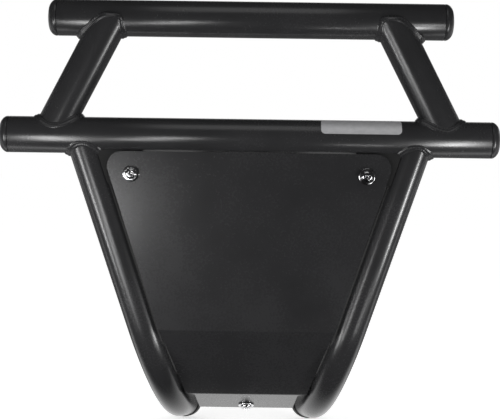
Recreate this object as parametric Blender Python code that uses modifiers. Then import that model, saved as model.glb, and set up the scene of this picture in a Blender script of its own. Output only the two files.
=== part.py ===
"""Front bumper for a quad bike: two crossbars, two uprights, two bent down tubes and a folded skid plate.

The front faces -Y, the vehicle is on +Y and Z is up. Everything is drawn round the lower
crossbar's axis, then moved as one so that the origin lies on the lower bracket's rear face,
where the bumper is bolted to the vehicle's frame. Left and right are as seen from the front.
"""
import math

import bmesh
import bpy
import numpy as np
from mathutils import Matrix, Vector

MM = 0.001
ACROSS = Vector((1, 0, 0))
BACK = Vector((0, 1, 0))
UP = Vector((0, 0, 1))

# Crossbars and uprights, all from one size of round tube
BAR_DIAMETER = 44.45 * MM
BAR_WALL = 2.6 * MM
LOWER_BAR_LENGTH = 589 * MM
UPPER_BAR_LENGTH = 472.5 * MM
BAR_SPACING = 143.4 * MM
UPRIGHT_FOOT_INSET = 49.5 * MM
UPRIGHT_HEAD_INSET = 65.75 * MM
UPRIGHT_SET_BACK = 4 * MM
UPPER_BAR_SET_BACK = 7 * MM
UPRIGHT_FOOT_TRIM = 4.5 * MM

# Down tubes: straight and leaning in, then bent back under the vehicle
DOWN_DIAMETER = 38.1 * MM
DOWN_WALL = 2.3 * MM
DOWN_INSET = 87 * MM
DOWN_LEAN = math.radians(18.66)
DOWN_STRAIGHT = 246 * MM
BEND_RADIUS = 124 * MM
BEND_ANGLE = math.radians(79.4)
BEND_TOE_IN = math.radians(1.8)
TAIL_LENGTH = 64 * MM

# Saddle welds: leg on the bar, leg on the joining tube, and rise of the bead's face
WELD_BAR_LEG = 5.6 * MM
WELD_TUBE_LEG = 4.6 * MM
WELD_RISE = 1.9 * MM

# Skid plate: one sheet with a face, a shin and a lip
PLATE_THICKNESS = 3 * MM
PLATE_SET_BACK = 1.5 * MM
PLATE_EDGE_LAP = 1.3 * MM
PLATE_CORNER_RADIUS = 18 * MM
PLATE_TOP_GAP = 1.5 * MM
PLATE_TOP_DRAW_IN = 3 * MM
FACE_LENGTH = 218.5 * MM
SHIN_LENGTH = 100 * MM
SHIN_ANGLE = math.radians(30)
SHIN_EDGE_GAP = 0.6 * MM
SHIN_CORNER_DROP = 15 * MM
LIP_LENGTH = 64 * MM
LIP_ANGLE = math.radians(64)
LIP_TAIL_CLEARANCE = 8.5 * MM
LIP_SIDE_TAPER = 4.3 * MM
LIP_NOTCH_RADIUS = 8 * MM
FOLD_RADIUS = 4 * MM

# Button-head screws with washers and lock nuts
SCREW_DIAMETER = 8 * MM
SCREW_HEAD_DIAMETER = 14 * MM
SCREW_HEAD_HEIGHT = 4.4 * MM
SOCKET_WIDTH = 5 * MM
SOCKET_DEPTH = 2.8 * MM
SCREW_OVERHANG = 2 * MM
WASHER_DIAMETER = 20 * MM
WASHER_THICKNESS = 1.8 * MM
NUT_WIDTH = 13 * MM
NUT_HEIGHT = 6 * MM
NUT_COLLAR_HEIGHT = 2 * MM
FACE_SCREW_INSET = 30 * MM
FACE_SCREW_DROP = 45.7 * MM
LIP_SCREW_FROM_EDGE = 15.5 * MM
HOLE_CLEARANCE = 0.5 * MM

# Plate tabs on the down tubes
PLATE_TAB_THICKNESS = 4 * MM
PLATE_TAB_HEIGHT = 24 * MM

# Lower bracket: an angle across the tails, bolted to the frame
BRACKET_THICKNESS = 4 * MM
BRACKET_SIDE_LAP = 16 * MM
BRACKET_LIP_INSET = 3 * MM
BRACKET_LAP = 36 * MM
BRACKET_OVERHANG = 7 * MM
BRACKET_HEIGHT = 52 * MM
BRACKET_CORNER_RADIUS = 14 * MM
BRACKET_FOLD_RADIUS = 5 * MM
BRACKET_HOLE_FROM_TOP = 15 * MM
MOUNT_HOLE_DIAMETER = 10.5 * MM

# Frame tabs behind the lower crossbar
FRAME_TAB_SPAN = 180 * MM
FRAME_TAB_THICKNESS = 5 * MM
FRAME_TAB_REACH = 62 * MM
FRAME_TAB_HEIGHT = 36 * MM

# Bar end caps, and the soft caps slipped over the tails
CAP_RIM = 2 * MM
CAP_TAPER_DEPTH = 8.2 * MM
CAP_FACE_DIAMETER = 25 * MM
CAP_DOME = 1.3 * MM
CAP_SPIGOT_LENGTH = 18 * MM
TAIL_CAP_WALL = 1.6 * MM
TAIL_CAP_DEPTH = 18 * MM
TAIL_CAP_EDGE_RADIUS = 1.5 * MM

# Clearance between touching pieces, and the fineness of round surfaces
FIT_GAP = 0.3 * MM
WELD_CHORD_GAP = 0.25 * MM
BAR_SIDES = 40
DOWN_SIDES = 28
CUTTER_SIDES = 40
DRILL_SIDES = 24
BEND_STEPS = 10
WELD_STATIONS = 32
SEAM_SAMPLES = 384
TURNED_STEPS = 28
SCREW_STEPS = 20
ARC_STEPS = 4
SMOOTH_ANGLE = math.radians(32)

# Values worked out from the sizes above
BAR_R = BAR_DIAMETER / 2
DOWN_R = DOWN_DIAMETER / 2
DOWN_SPAN = LOWER_BAR_LENGTH - 2 * DOWN_INSET
UPPER_AXIS = Vector((0, UPPER_BAR_SET_BACK, BAR_SPACING))
PLATE_FRONT_Y = PLATE_SET_BACK - DOWN_R
PLATE_BACK_Y = PLATE_FRONT_Y + PLATE_THICKNESS
PLATE_TOP_Z = -math.sqrt((BAR_R + FIT_GAP) ** 2 - PLATE_BACK_Y ** 2) - PLATE_TOP_GAP
SCREW_HOLE_R = (SCREW_DIAMETER + HOLE_CLEARANCE) / 2
WELD_SEAT_GAP = FIT_GAP + WELD_CHORD_GAP

MATERIALS = {
    "frame_coat": ((0.012, 0.012, 0.013), 0.38, 0.0),
    "plate_coat": ((0.013, 0.013, 0.014), 0.42, 0.0),
    "weld_coat": ((0.012, 0.012, 0.013), 0.34, 0.0),
    "cap_alloy": ((0.03, 0.03, 0.032), 0.3, 1.0),
    "chrome_steel": ((0.8, 0.8, 0.8), 0.12, 1.0),
    "zinc_steel": ((0.6, 0.6, 0.58), 0.35, 1.0),
    "cap_vinyl": ((0.008, 0.008, 0.008), 0.6, 0.0),
}


def clear_scene():
    """Remove every object of the open file."""
    for item in list(bpy.data.objects):
        bpy.data.objects.remove(item, do_unlink=True)


def make_collection(name, hidden=False):
    """Add a collection to the scene."""
    group = bpy.data.collections.new(name)
    group.hide_render = hidden
    bpy.context.scene.collection.children.link(group)
    return group


def make_material(name):
    """Principled material from the table of finishes."""
    color, roughness, metallic = MATERIALS[name]
    material = bpy.data.materials.new(name)
    material.use_nodes = True
    shader = material.node_tree.nodes["Principled BSDF"]
    shader.inputs["Base Color"].default_value = (*color, 1)
    shader.inputs["Roughness"].default_value = roughness
    shader.inputs["Metallic"].default_value = metallic
    return material


class Workshop:
    """Holds the collections, the datum and the materials while the pieces are made."""

    def __init__(self):
        self.parts = make_collection("atv_front_bumper")
        self.cutters = make_collection("cutters", hidden=True)
        self.materials = {name: make_material(name) for name in MATERIALS}
        self.datum = bpy.data.objects.new("lower_crossbar_axis", None)
        self.parts.objects.link(self.datum)

    def part(self, name, mesh, material):
        """Turn a mesh into a named piece of the bumper."""
        piece = bpy.data.objects.new(name, mesh)
        piece.parent = self.datum
        mesh.materials.clear()
        mesh.materials.append(self.materials[material])
        self.parts.objects.link(piece)
        return piece

    def cutter(self, name, mesh):
        """Turn a mesh into a hidden cutter."""
        tool = bpy.data.objects.new(name, mesh)
        tool.parent = self.datum
        tool.hide_render = True
        tool.display_type = "WIRE"
        self.cutters.objects.link(tool)
        return tool


def new_mesh(name, work):
    """Write a bmesh into a new mesh."""
    mesh = bpy.data.meshes.new(name)
    work.to_mesh(mesh)
    work.free()
    return mesh


def cut(piece, tool, operation="DIFFERENCE"):
    """Add a Boolean modifier to a piece."""
    modifier = piece.modifiers.new(tool.name, "BOOLEAN")
    modifier.operation = operation
    modifier.object = tool
    modifier.solver = "EXACT"


def smooth(mesh):
    """Shade round surfaces smooth and keep the real edges sharp."""
    mesh.shade_smooth()
    mesh.set_sharp_from_angle(angle=SMOOTH_ANGLE)


def curve_to_mesh(curve, name):
    """Evaluate a curve as a welded mesh and remove the curve."""
    carrier = bpy.data.objects.new(name, curve)
    bpy.context.scene.collection.objects.link(carrier)
    bpy.context.view_layer.update()
    graph = bpy.context.evaluated_depsgraph_get()
    mesh = bpy.data.meshes.new_from_object(carrier.evaluated_get(graph))
    bpy.data.objects.remove(carrier, do_unlink=True)
    bpy.data.curves.remove(curve)
    work = bmesh.new()
    work.from_mesh(mesh)
    bmesh.ops.remove_doubles(work, verts=work.verts, dist=0.001 * MM)
    bmesh.ops.recalc_face_normals(work, faces=work.faces)
    work.to_mesh(mesh)
    work.free()
    return mesh


def path_mesh(name, points, radius, sides, capped):
    """Round tube or bar along a chain of points."""
    curve = bpy.data.curves.new(name, "CURVE")
    curve.dimensions = "3D"
    curve.bevel_depth = radius
    curve.bevel_resolution = (sides - 4) // 2
    curve.use_fill_caps = capped
    spline = curve.splines.new("POLY")
    spline.points.add(len(points) - 1)
    for spot, point in zip(spline.points, points):
        spot.co = (*point, 1)
    return curve_to_mesh(curve, name)


def outline_mesh(name, corners, thickness):
    """Flat plate in the XY plane, centred on it, from its outline."""
    curve = bpy.data.curves.new(name, "CURVE")
    curve.dimensions = "2D"
    curve.fill_mode = "BOTH"
    curve.extrude = thickness / 2
    spline = curve.splines.new("POLY")
    spline.points.add(len(corners) - 1)
    for spot, corner in zip(spline.points, corners):
        spot.co = (*corner, 0, 1)
    spline.use_cyclic_u = True
    return curve_to_mesh(curve, name)


def rod_mesh(name, radius, length, sides=DRILL_SIDES):
    """Closed cylinder along Z, centred on its origin."""
    work = bmesh.new()
    bmesh.ops.create_cone(
        work, cap_ends=True, segments=sides, radius1=radius, radius2=radius, depth=length)
    return new_mesh(name, work)


def turned_mesh(name, profile, steps=TURNED_STEPS):
    """Open profile at +X, running top to bottom, for a Screw modifier to turn about Z."""
    mesh = bpy.data.meshes.new(name)
    edges = [(index, index + 1) for index in range(len(profile) - 1)]
    mesh.from_pydata([(radius, 0, height) for radius, height in profile], edges, [])
    return mesh


def turn(piece, steps):
    """Turn a piece's profile into a closed solid."""
    modifier = piece.modifiers.new("turned", "SCREW")
    modifier.steps = steps
    modifier.render_steps = steps
    modifier.use_merge_vertices = True
    modifier.merge_threshold = 0.01 * MM
    modifier.use_smooth_shade = True


def hollow(piece, wall):
    """Give an open tube its wall, inward from the outer surface."""
    modifier = piece.modifiers.new("wall", "SOLIDIFY")
    modifier.thickness = wall
    modifier.offset = -1
    modifier.use_even_offset = True


def stand_at(place, direction):
    """Pose that puts a piece's Z axis along a direction, at a place."""
    return Matrix.Translation(place) @ UP.rotation_difference(direction).to_matrix().to_4x4()


def arc_points(centre, radius, start, end, steps=ARC_STEPS):
    """Points on a round corner, from one angle to another."""
    turns = [start + (end - start) * step / steps for step in range(steps + 1)]
    return [(centre[0] + radius * math.cos(a), centre[1] + radius * math.sin(a)) for a in turns]


def down_tube_axis(side):
    """Chain of points along a down tube, from the lower bar's axis to the open end."""
    along = Vector((-side * math.sin(DOWN_LEAN), 0, -math.cos(DOWN_LEAN)))
    inward = Vector((-side * math.cos(DOWN_LEAN), 0, math.sin(DOWN_LEAN)))
    bend_to = math.cos(BEND_TOE_IN) * BACK + math.sin(BEND_TOE_IN) * inward
    top = Vector((side * DOWN_SPAN / 2, 0, 0))
    bend_start = top + DOWN_STRAIGHT * along
    points = [top]
    for step in range(BEND_STEPS + 1):
        angle = BEND_ANGLE * step / BEND_STEPS
        rise = BEND_RADIUS * (math.sin(angle) * along + (1 - math.cos(angle)) * bend_to)
        points.append(bend_start + rise)
    tail = math.cos(BEND_ANGLE) * along + math.sin(BEND_ANGLE) * bend_to
    points.append(points[-1] + TAIL_LENGTH * tail)
    return points, tail


def axis_x_where(coordinate, value):
    """Distance of a down tube's axis from the middle, where its y (1) or z (2) has a value."""
    points, _ = down_tube_axis(1)
    for before, after in zip(points, points[1:]):
        travel = after[coordinate] - before[coordinate]
        share = (value - before[coordinate]) / travel if travel else -1
        if 0 <= share <= 1:
            return before.x + share * (after.x - before.x)
    return points[-1].x


def axis_x_at(height):
    """Distance of a down tube's axis from the middle, at a height."""
    return axis_x_where(2, height)


def plate_chain():
    """Corners of the plate's front surface in side view: top, face fold, lip fold, lip edge."""
    top = Vector((0, PLATE_FRONT_Y, PLATE_TOP_Z))
    fold = top - FACE_LENGTH * UP
    shin = Vector((0, math.sin(SHIN_ANGLE), -math.cos(SHIN_ANGLE)))
    lip = Vector((0, math.sin(LIP_ANGLE), -math.cos(LIP_ANGLE)))
    lip_fold = fold + SHIN_LENGTH * shin
    return top, fold, lip_fold, lip_fold + LIP_LENGTH * lip


def lip_directions():
    """Direction down the lip, and the normal of its upper side."""
    down = Vector((0, math.sin(LIP_ANGLE), -math.cos(LIP_ANGLE)))
    inner = Vector((0, math.cos(LIP_ANGLE), math.sin(LIP_ANGLE)))
    return down, inner


def bracket_chain():
    """Corners of the lower bracket's lower and rear surface in side view."""
    _, _, _, lip_edge = plate_chain()
    down, inner = lip_directions()
    seat = lip_edge + (PLATE_THICKNESS + FIT_GAP) * inner
    start = seat - BRACKET_LAP * down
    corner = seat + BRACKET_OVERHANG * down
    return start, corner, corner + BRACKET_HEIGHT * UP


def rounded_chain(corners, radius):
    """Replace each inner corner of a side-view chain with a short arc."""
    points = [corners[0]]
    for before, corner, after in zip(corners, corners[1:], corners[2:]):
        arriving = (corner - before).normalized()
        leaving = (after - corner).normalized()
        half = arriving.angle(leaving) / 2
        reach = radius * math.tan(half)
        centre = corner + (leaving - arriving).normalized() * radius / math.cos(half)
        start = corner - reach * arriving - centre
        normal = arriving.cross(leaving).normalized()
        for step in range(ARC_STEPS + 1):
            spin = Matrix.Rotation(2 * half * step / ARC_STEPS, 3, normal)
            points.append(centre + spin @ start)
    return points + [corners[-1]]


def folded_sheet(name, chain, width):
    """Open strip, a side-view chain drawn out across the bumper."""
    work = bmesh.new()
    rows = []
    for point in chain:
        left = work.verts.new(point - ACROSS * width / 2)
        right = work.verts.new(point + ACROSS * width / 2)
        rows.append((left, right))
    for (left, right), (next_left, next_right) in zip(rows, rows[1:]):
        work.faces.new((left, next_left, next_right, right))
    return new_mesh(name, work)


def thicken(piece, thickness):
    """Give a folded strip its thickness, behind the drawn surface."""
    modifier = piece.modifiers.new("thickness", "SOLIDIFY")
    modifier.thickness = thickness
    modifier.offset = -1
    modifier.use_even_offset = True


def lip_edge_half_width():
    """Half the width of the lip at its rear edge, clear of the tails."""
    _, _, _, lip_edge = plate_chain()
    return axis_x_where(1, lip_edge.y) - DOWN_R - LIP_TAIL_CLEARANCE


def plate_outline():
    """Right half of the plate's outline in front view, from the top edge to the lip's edge."""
    top, fold, lip_fold, lip_edge = plate_chain()
    reach = 1 / math.cos(DOWN_LEAN)
    face_inset = (DOWN_R - PLATE_EDGE_LAP) * reach
    shin_inset = (DOWN_R + SHIN_EDGE_GAP) * reach
    corner_x = axis_x_at(top.z) - face_inset - PLATE_TOP_DRAW_IN
    fold_x = axis_x_at(fold.z) - face_inset
    lean = math.atan2(corner_x - fold_x, FACE_LENGTH)
    radius = PLATE_CORNER_RADIUS
    centre = (corner_x - radius * (math.tan(lean) + 1 / math.cos(lean)), top.z - radius)
    outline = arc_points(centre, radius, math.pi / 2, -lean)
    outline.append((fold_x, fold.z))
    for height in (fold.z - SHIN_CORNER_DROP, lip_fold.z):
        outline.append((axis_x_at(height) - shin_inset, height))
    edge_half = lip_edge_half_width()
    fold_half = edge_half + LIP_SIDE_TAPER
    notch_depth = LIP_NOTCH_RADIUS * math.cos(LIP_ANGLE)
    for x, z in arc_points((0, 0), 1, math.pi / 2, math.pi):
        outline.append((fold_half + LIP_NOTCH_RADIUS * (1 + x), lip_fold.z - notch_depth * (1 - z)))
    outline.append((edge_half, lip_edge.z - PLATE_THICKNESS))
    return outline


def mirrored(outline):
    """Close a right-half outline with its mirror image."""
    return outline + [(-x, y) for x, y in reversed(outline)]


def standing_prism(name, corners, depth):
    """Prism of a front-view outline, centred on the XZ plane."""
    mesh = outline_mesh(name, corners, depth)
    mesh.transform(Matrix.Rotation(math.pi / 2, 4, "X"))
    return mesh


def drill(shop, piece, name, radius, place, direction, length):
    """Cut a round hole through a piece."""
    mesh = rod_mesh(name, radius, length)
    mesh.transform(stand_at(place, direction))
    cut(piece, shop.cutter(name, mesh))


def make_crossbars(shop):
    """The two crossbars, open-ended for their caps."""
    bars = (("upper_crossbar", UPPER_BAR_LENGTH, UPPER_AXIS),
            ("lower_crossbar", LOWER_BAR_LENGTH, Vector()))
    for name, length, axis in bars:
        ends = [axis - ACROSS * length / 2, axis + ACROSS * length / 2]
        bar = shop.part(name, path_mesh(name, ends, BAR_R, BAR_SIDES, False), "frame_coat")
        hollow(bar, BAR_WALL)
        smooth(bar.data)


def bar_cutter(shop, name, axis, length):
    """Cutter for a tube's coped end: the crossbar's outside with its clearance."""
    ends = [axis - ACROSS * length / 2, axis + ACROSS * length / 2]
    return shop.cutter(name, path_mesh(name, ends, BAR_R + FIT_GAP, CUTTER_SIDES, True))


def upright_line(side):
    """Foot and head of an upright's axis."""
    foot = Vector((side * (LOWER_BAR_LENGTH / 2 - UPRIGHT_FOOT_INSET), UPRIGHT_SET_BACK, 0))
    head = Vector((side * (UPPER_BAR_LENGTH / 2 - UPRIGHT_HEAD_INSET), UPRIGHT_SET_BACK, BAR_SPACING))
    return foot, head


def headroom_cutter(shop):
    """Cutter that trims the uprights level with the upper crossbar's axis, where they stand proud of it."""
    half = UPPER_BAR_LENGTH / 2
    level = UPPER_AXIS.z - FIT_GAP
    top = level + 2 * BAR_DIAMETER
    corners = [(-half, level), (half, level), (half, top), (-half, top)]
    return shop.cutter("headroom", standing_prism("headroom", corners, 4 * BAR_DIAMETER))


def make_uprights(shop, lower_cutter, upper_cutter):
    """Leaning tubes between the crossbars, fish-mouthed at both ends."""
    headroom = headroom_cutter(shop)
    for side, word in ((-1, "left"), (1, "right")):
        foot, head = upright_line(side)
        along = (head - foot).normalized()
        points = [foot + UPRIGHT_FOOT_TRIM * along, head + BAR_DIAMETER * along]
        name = f"{word}_upright"
        tube = shop.part(name, path_mesh(name, points, BAR_R, BAR_SIDES, False), "frame_coat")
        hollow(tube, BAR_WALL)
        cut(tube, lower_cutter)
        cut(tube, upper_cutter)
        cut(tube, headroom)
        smooth(tube.data)


def make_down_tubes(shop, lower_cutter):
    """Bent tubes under the lower crossbar, fish-mouthed at the top."""
    for side, word in ((-1, "left"), (1, "right")):
        name = f"{word}_down_tube"
        points, _ = down_tube_axis(side)
        tube = shop.part(name, path_mesh(name, points, DOWN_R, DOWN_SIDES, False), "frame_coat")
        hollow(tube, DOWN_WALL)
        cut(tube, lower_cutter)
        smooth(tube.data)


def seam_point(angle, start, along, tube_radius, axis):
    """Where one line of a round tube meets a crossbar, and the tube's normal there."""
    sideways = along.cross(BACK).normalized()
    normal = math.cos(angle) * sideways + math.sin(angle) * BACK
    ring = start + tube_radius * normal
    depth = ring.y - axis.y
    height = math.sqrt(max(0, (BAR_R + WELD_SEAT_GAP) ** 2 - depth ** 2))
    travel = (math.copysign(height, along.z) - (ring.z - axis.z)) / along.z
    return ring + along * travel, normal


def seam_points(start, along, tube_radius, axis):
    """Evenly spaced points of the seam between a tube and a crossbar, with the tube's normals."""
    table = np.linspace(0, 2 * math.pi, SEAM_SAMPLES + 1)
    line = [seam_point(angle, start, along, tube_radius, axis)[0] for angle in table]
    steps = [0] + [(after - before).length for before, after in zip(line, line[1:])]
    travelled = np.cumsum(steps)
    wanted = np.arange(WELD_STATIONS) * travelled[-1] / WELD_STATIONS
    pairs = [seam_point(angle, start, along, tube_radius, axis)
             for angle in np.interp(wanted, travelled, table)]
    return [point for point, _ in pairs], [normal for _, normal in pairs]


def bead_section(root, tangent, normal, along, axis):
    """Cross-section of a weld bead: root, toe on the bar, face, toe on the tube."""
    bar_normal = Vector((0, root.y - axis.y, root.z - axis.z)).normalized()
    away = tangent.cross(bar_normal).normalized()
    if away.dot(normal - along) < 0:
        away = -away
    around = ACROSS.cross(bar_normal)
    spin = Matrix.Rotation(WELD_BAR_LEG * away.dot(around) / BAR_R, 3, "X")
    bar_toe = axis + (BAR_R + WELD_SEAT_GAP) * (spin @ bar_normal)
    bar_toe.x = root.x + WELD_BAR_LEG * away.x
    lean = max(abs(along.cross(tangent).length), math.sqrt(0.5))
    tube_toe = root + along * WELD_TUBE_LEG / lean
    out = (bar_normal + normal).normalized()
    rise = WELD_RISE + max(0, (root - bar_toe.lerp(tube_toe, 0.5)).dot(out))
    face = []
    for step in range(1, ARC_STEPS):
        share = step / ARC_STEPS
        bulge = 4 * share * (1 - share)
        face.append(bar_toe.lerp(tube_toe, share) + bulge * rise * out)
    return [root, bar_toe, *face, tube_toe]


def make_bead(shop, name, start, along, tube_radius, axis):
    """Weld bead lofted round a saddle joint."""
    seam, normals = seam_points(start, along, tube_radius + FIT_GAP, axis)
    work = bmesh.new()
    rings = []
    for station in range(WELD_STATIONS):
        after = seam[(station + 2) % WELD_STATIONS]
        tangent = (after - seam[station - 2]).normalized()
        section = bead_section(seam[station], tangent, normals[station], along, axis)
        rings.append([work.verts.new(point) for point in section])
    for station in range(WELD_STATIONS):
        ring = rings[station]
        following = rings[(station + 1) % WELD_STATIONS]
        for corner in range(len(ring)):
            neighbour = (corner + 1) % len(ring)
            work.faces.new((ring[corner], ring[neighbour], following[neighbour], following[corner]))
    bmesh.ops.recalc_face_normals(work, faces=work.faces)
    bead = shop.part(name, new_mesh(name, work), "weld_coat")
    smooth(bead.data)


def make_welds(shop):
    """Saddle welds of the uprights and the down tubes."""
    for side, word in ((-1, "left"), (1, "right")):
        foot, head = upright_line(side)
        along = (head - foot).normalized()
        make_bead(shop, f"{word}_upright_head_weld", head, -along, BAR_R, UPPER_AXIS)
        make_bead(shop, f"{word}_upright_foot_weld", foot, along, BAR_R, Vector())
        points, _ = down_tube_axis(side)
        along = (points[1] - points[0]).normalized()
        make_bead(shop, f"{word}_down_tube_weld", points[0], along, DOWN_R, Vector())


def make_skid_plate(shop):
    """Folded sheet, blanked to its outline and drilled for three screws."""
    top, fold, lip_fold, lip_edge = plate_chain()
    chain = rounded_chain([top, fold, lip_fold, lip_edge], FOLD_RADIUS)
    plate = shop.part("skid_plate", folded_sheet("skid_plate", chain, DOWN_SPAN), "plate_coat")
    thicken(plate, PLATE_THICKNESS)
    depth = 2 * (lip_edge.y + DOWN_SPAN)
    blank = shop.cutter("plate_blank", standing_prism("plate_blank", mirrored(plate_outline()), depth))
    cut(plate, blank, "INTERSECT")
    for word, place, out in screw_places():
        drill(shop, plate, f"{word}_plate_hole", SCREW_HOLE_R, place, out, 4 * PLATE_THICKNESS)
    smooth(plate.data)


def face_screw_x():
    """Distance of the plate's upper screws from the middle."""
    edge_inset = (DOWN_R - PLATE_EDGE_LAP) / math.cos(DOWN_LEAN)
    return axis_x_at(-FACE_SCREW_DROP) - edge_inset - FACE_SCREW_INSET


def screw_places():
    """Name, seat on the plate's front surface and outward direction of each screw."""
    _, _, _, lip_edge = plate_chain()
    down, inner = lip_directions()
    yield "left", Vector((-face_screw_x(), PLATE_FRONT_Y, -FACE_SCREW_DROP)), -BACK
    yield "right", Vector((face_screw_x(), PLATE_FRONT_Y, -FACE_SCREW_DROP)), -BACK
    yield "lip", lip_edge - LIP_SCREW_FROM_EDGE * down, -inner


def button_screw_profile(length):
    """Half section of a button-head screw, seated at z = 0."""
    head_r = SCREW_HEAD_DIAMETER / 2
    crown_r = SOCKET_WIDTH / math.sqrt(3) + HOLE_CLEARANCE
    profile = [(0, SCREW_HEAD_HEIGHT), (crown_r, SCREW_HEAD_HEIGHT)]
    for step in range(1, ARC_STEPS + 1):
        angle = math.pi / 2 * step / ARC_STEPS
        rise = (SCREW_HEAD_HEIGHT - HOLE_CLEARANCE) * math.cos(angle)
        profile.append((crown_r + (head_r - crown_r) * math.sin(angle), HOLE_CLEARANCE + rise))
    shank_r = SCREW_DIAMETER / 2
    return profile + [(head_r, 0), (shank_r, 0), (shank_r, -length), (0, -length)]


def make_screw_set(shop, word, place, out, stack):
    """Screw, washer and lock nut through a stack of sheets."""
    pose = stand_at(place, out)
    washer_seat = FIT_GAP
    head_seat = washer_seat + WASHER_THICKNESS + FIT_GAP
    nut_seat = -stack - FIT_GAP
    length = head_seat - nut_seat + NUT_HEIGHT + NUT_COLLAR_HEIGHT + SCREW_OVERHANG
    screw = shop.part(f"{word}_screw", turned_mesh(f"{word}_screw", button_screw_profile(length)),
                      "chrome_steel")
    turn(screw, SCREW_STEPS)
    screw.matrix_local = pose @ Matrix.Translation((0, 0, head_seat))
    socket = shop.cutter(f"{word}_socket", rod_mesh(
        f"{word}_socket", SOCKET_WIDTH / math.sqrt(3), 2 * SOCKET_DEPTH, 6))
    socket.matrix_local = pose @ Matrix.Translation((0, 0, head_seat + SCREW_HEAD_HEIGHT))
    cut(screw, socket)
    washer = shop.part(f"{word}_washer", rod_mesh(
        f"{word}_washer", WASHER_DIAMETER / 2, WASHER_THICKNESS, TURNED_STEPS), "chrome_steel")
    washer.matrix_local = pose @ Matrix.Translation((0, 0, washer_seat + WASHER_THICKNESS / 2))
    nut = shop.part(f"{word}_lock_nut", lock_nut_mesh(f"{word}_lock_nut"), "zinc_steel")
    nut.matrix_local = pose @ Matrix.Translation((0, 0, nut_seat))
    bore = rod_mesh(f"{word}_bore", SCREW_HOLE_R, 3 * length)
    bore.transform(pose)
    tool = shop.cutter(f"{word}_bore", bore)
    cut(washer, tool)
    cut(nut, tool)
    smooth(washer.data)


def lock_nut_mesh(name):
    """Hexagon with a round collar on its far side, hanging below z = 0."""
    work = bmesh.new()
    hexagon_r = NUT_WIDTH / math.sqrt(3)
    collar_r = NUT_WIDTH / 2 - HOLE_CLEARANCE
    bmesh.ops.create_cone(
        work, cap_ends=True, segments=6, radius1=hexagon_r, radius2=hexagon_r, depth=NUT_HEIGHT,
        matrix=Matrix.Translation((0, 0, -NUT_HEIGHT / 2)))
    far = min(work.faces, key=lambda face: face.calc_center_median().z)
    bmesh.ops.inset_region(work, faces=[far], thickness=hexagon_r - collar_r)
    grown = bmesh.ops.extrude_face_region(work, geom=[far])
    tips = [item for item in grown["geom"] if isinstance(item, bmesh.types.BMVert)]
    bmesh.ops.delete(work, geom=[far], context="FACES_ONLY")
    bmesh.ops.translate(work, verts=tips, vec=-NUT_COLLAR_HEIGHT * UP)
    bmesh.ops.recalc_face_normals(work, faces=work.faces)
    return new_mesh(name, work)


def tube_cutter(shop, side, word):
    """Cutter that notches flat pieces round a down tube."""
    points, _ = down_tube_axis(side)
    name = f"{word}_down_tube_notch"
    return shop.cutter(name, path_mesh(name, points, DOWN_R + FIT_GAP, CUTTER_SIDES, True))


def make_plate_tabs(shop, notches):
    """Tabs that carry the plate's upper screws, notched to the down tubes."""
    half = PLATE_TAB_HEIGHT / 2
    centre_y = PLATE_BACK_Y + FIT_GAP + PLATE_TAB_THICKNESS / 2
    for side, word in ((-1, "left"), (1, "right")):
        screw_x = face_screw_x()
        outer = axis_x_at(-FACE_SCREW_DROP) - screw_x
        corners = arc_points((0, 0), half, math.pi / 2, 3 * math.pi / 2, 3 * ARC_STEPS)
        corners += [(outer, -half), (outer, half)]
        corners = [(side * x, y) for x, y in corners]
        name = f"{word}_plate_tab"
        mesh = standing_prism(name, corners, PLATE_TAB_THICKNESS)
        mesh.transform(Matrix.Translation((side * screw_x, centre_y, -FACE_SCREW_DROP)))
        tab = shop.part(name, mesh, "frame_coat")
        cut(tab, notches[side])
        place = Vector((side * screw_x, centre_y, -FACE_SCREW_DROP))
        drill(shop, tab, f"{word}_tab_hole", SCREW_HOLE_R, place, BACK, 4 * PLATE_TAB_THICKNESS)
        smooth(tab.data)


def make_lower_bracket(shop, notches):
    """Folded angle welded across the tails, behind the plate's lip."""
    chain = rounded_chain(list(bracket_chain()), BRACKET_FOLD_RADIUS)
    start, _, top = bracket_chain()
    half = axis_x_where(1, top.y) - DOWN_R + BRACKET_SIDE_LAP
    sheet = folded_sheet("lower_bracket", chain, DOWN_SPAN)
    bracket = shop.part("lower_bracket", sheet, "frame_coat")
    thicken(bracket, BRACKET_THICKNESS)
    radius = BRACKET_CORNER_RADIUS
    shoulder = start.z + BRACKET_THICKNESS
    foot_half = lip_edge_half_width() - BRACKET_LIP_INSET
    outline = arc_points((half - radius, top.z - radius), radius, math.pi / 2, 0)
    outline += [(half, shoulder), (foot_half, shoulder + BRACKET_THICKNESS)]
    outline.append((foot_half, top.z - 2 * BRACKET_HEIGHT))
    blank = standing_prism("bracket_blank", mirrored(outline), 2 * (top.y + DOWN_SPAN))
    cut(bracket, shop.cutter("bracket_blank", blank), "INTERSECT")
    for notch in notches.values():
        cut(bracket, notch)
    for side, word in ((-1, "left"), (1, "right")):
        place = Vector((side * half / 2, top.y, top.z - BRACKET_HOLE_FROM_TOP))
        drill(shop, bracket, f"{word}_bracket_hole", MOUNT_HOLE_DIAMETER / 2, place, BACK,
              4 * BRACKET_THICKNESS)
    _, place, out = list(screw_places())[2]
    seat = place - (PLATE_THICKNESS + FIT_GAP + BRACKET_THICKNESS / 2) * out
    drill(shop, bracket, "lip_bracket_hole", SCREW_HOLE_R, seat, out, 2 * BRACKET_THICKNESS)
    smooth(bracket.data)


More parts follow.
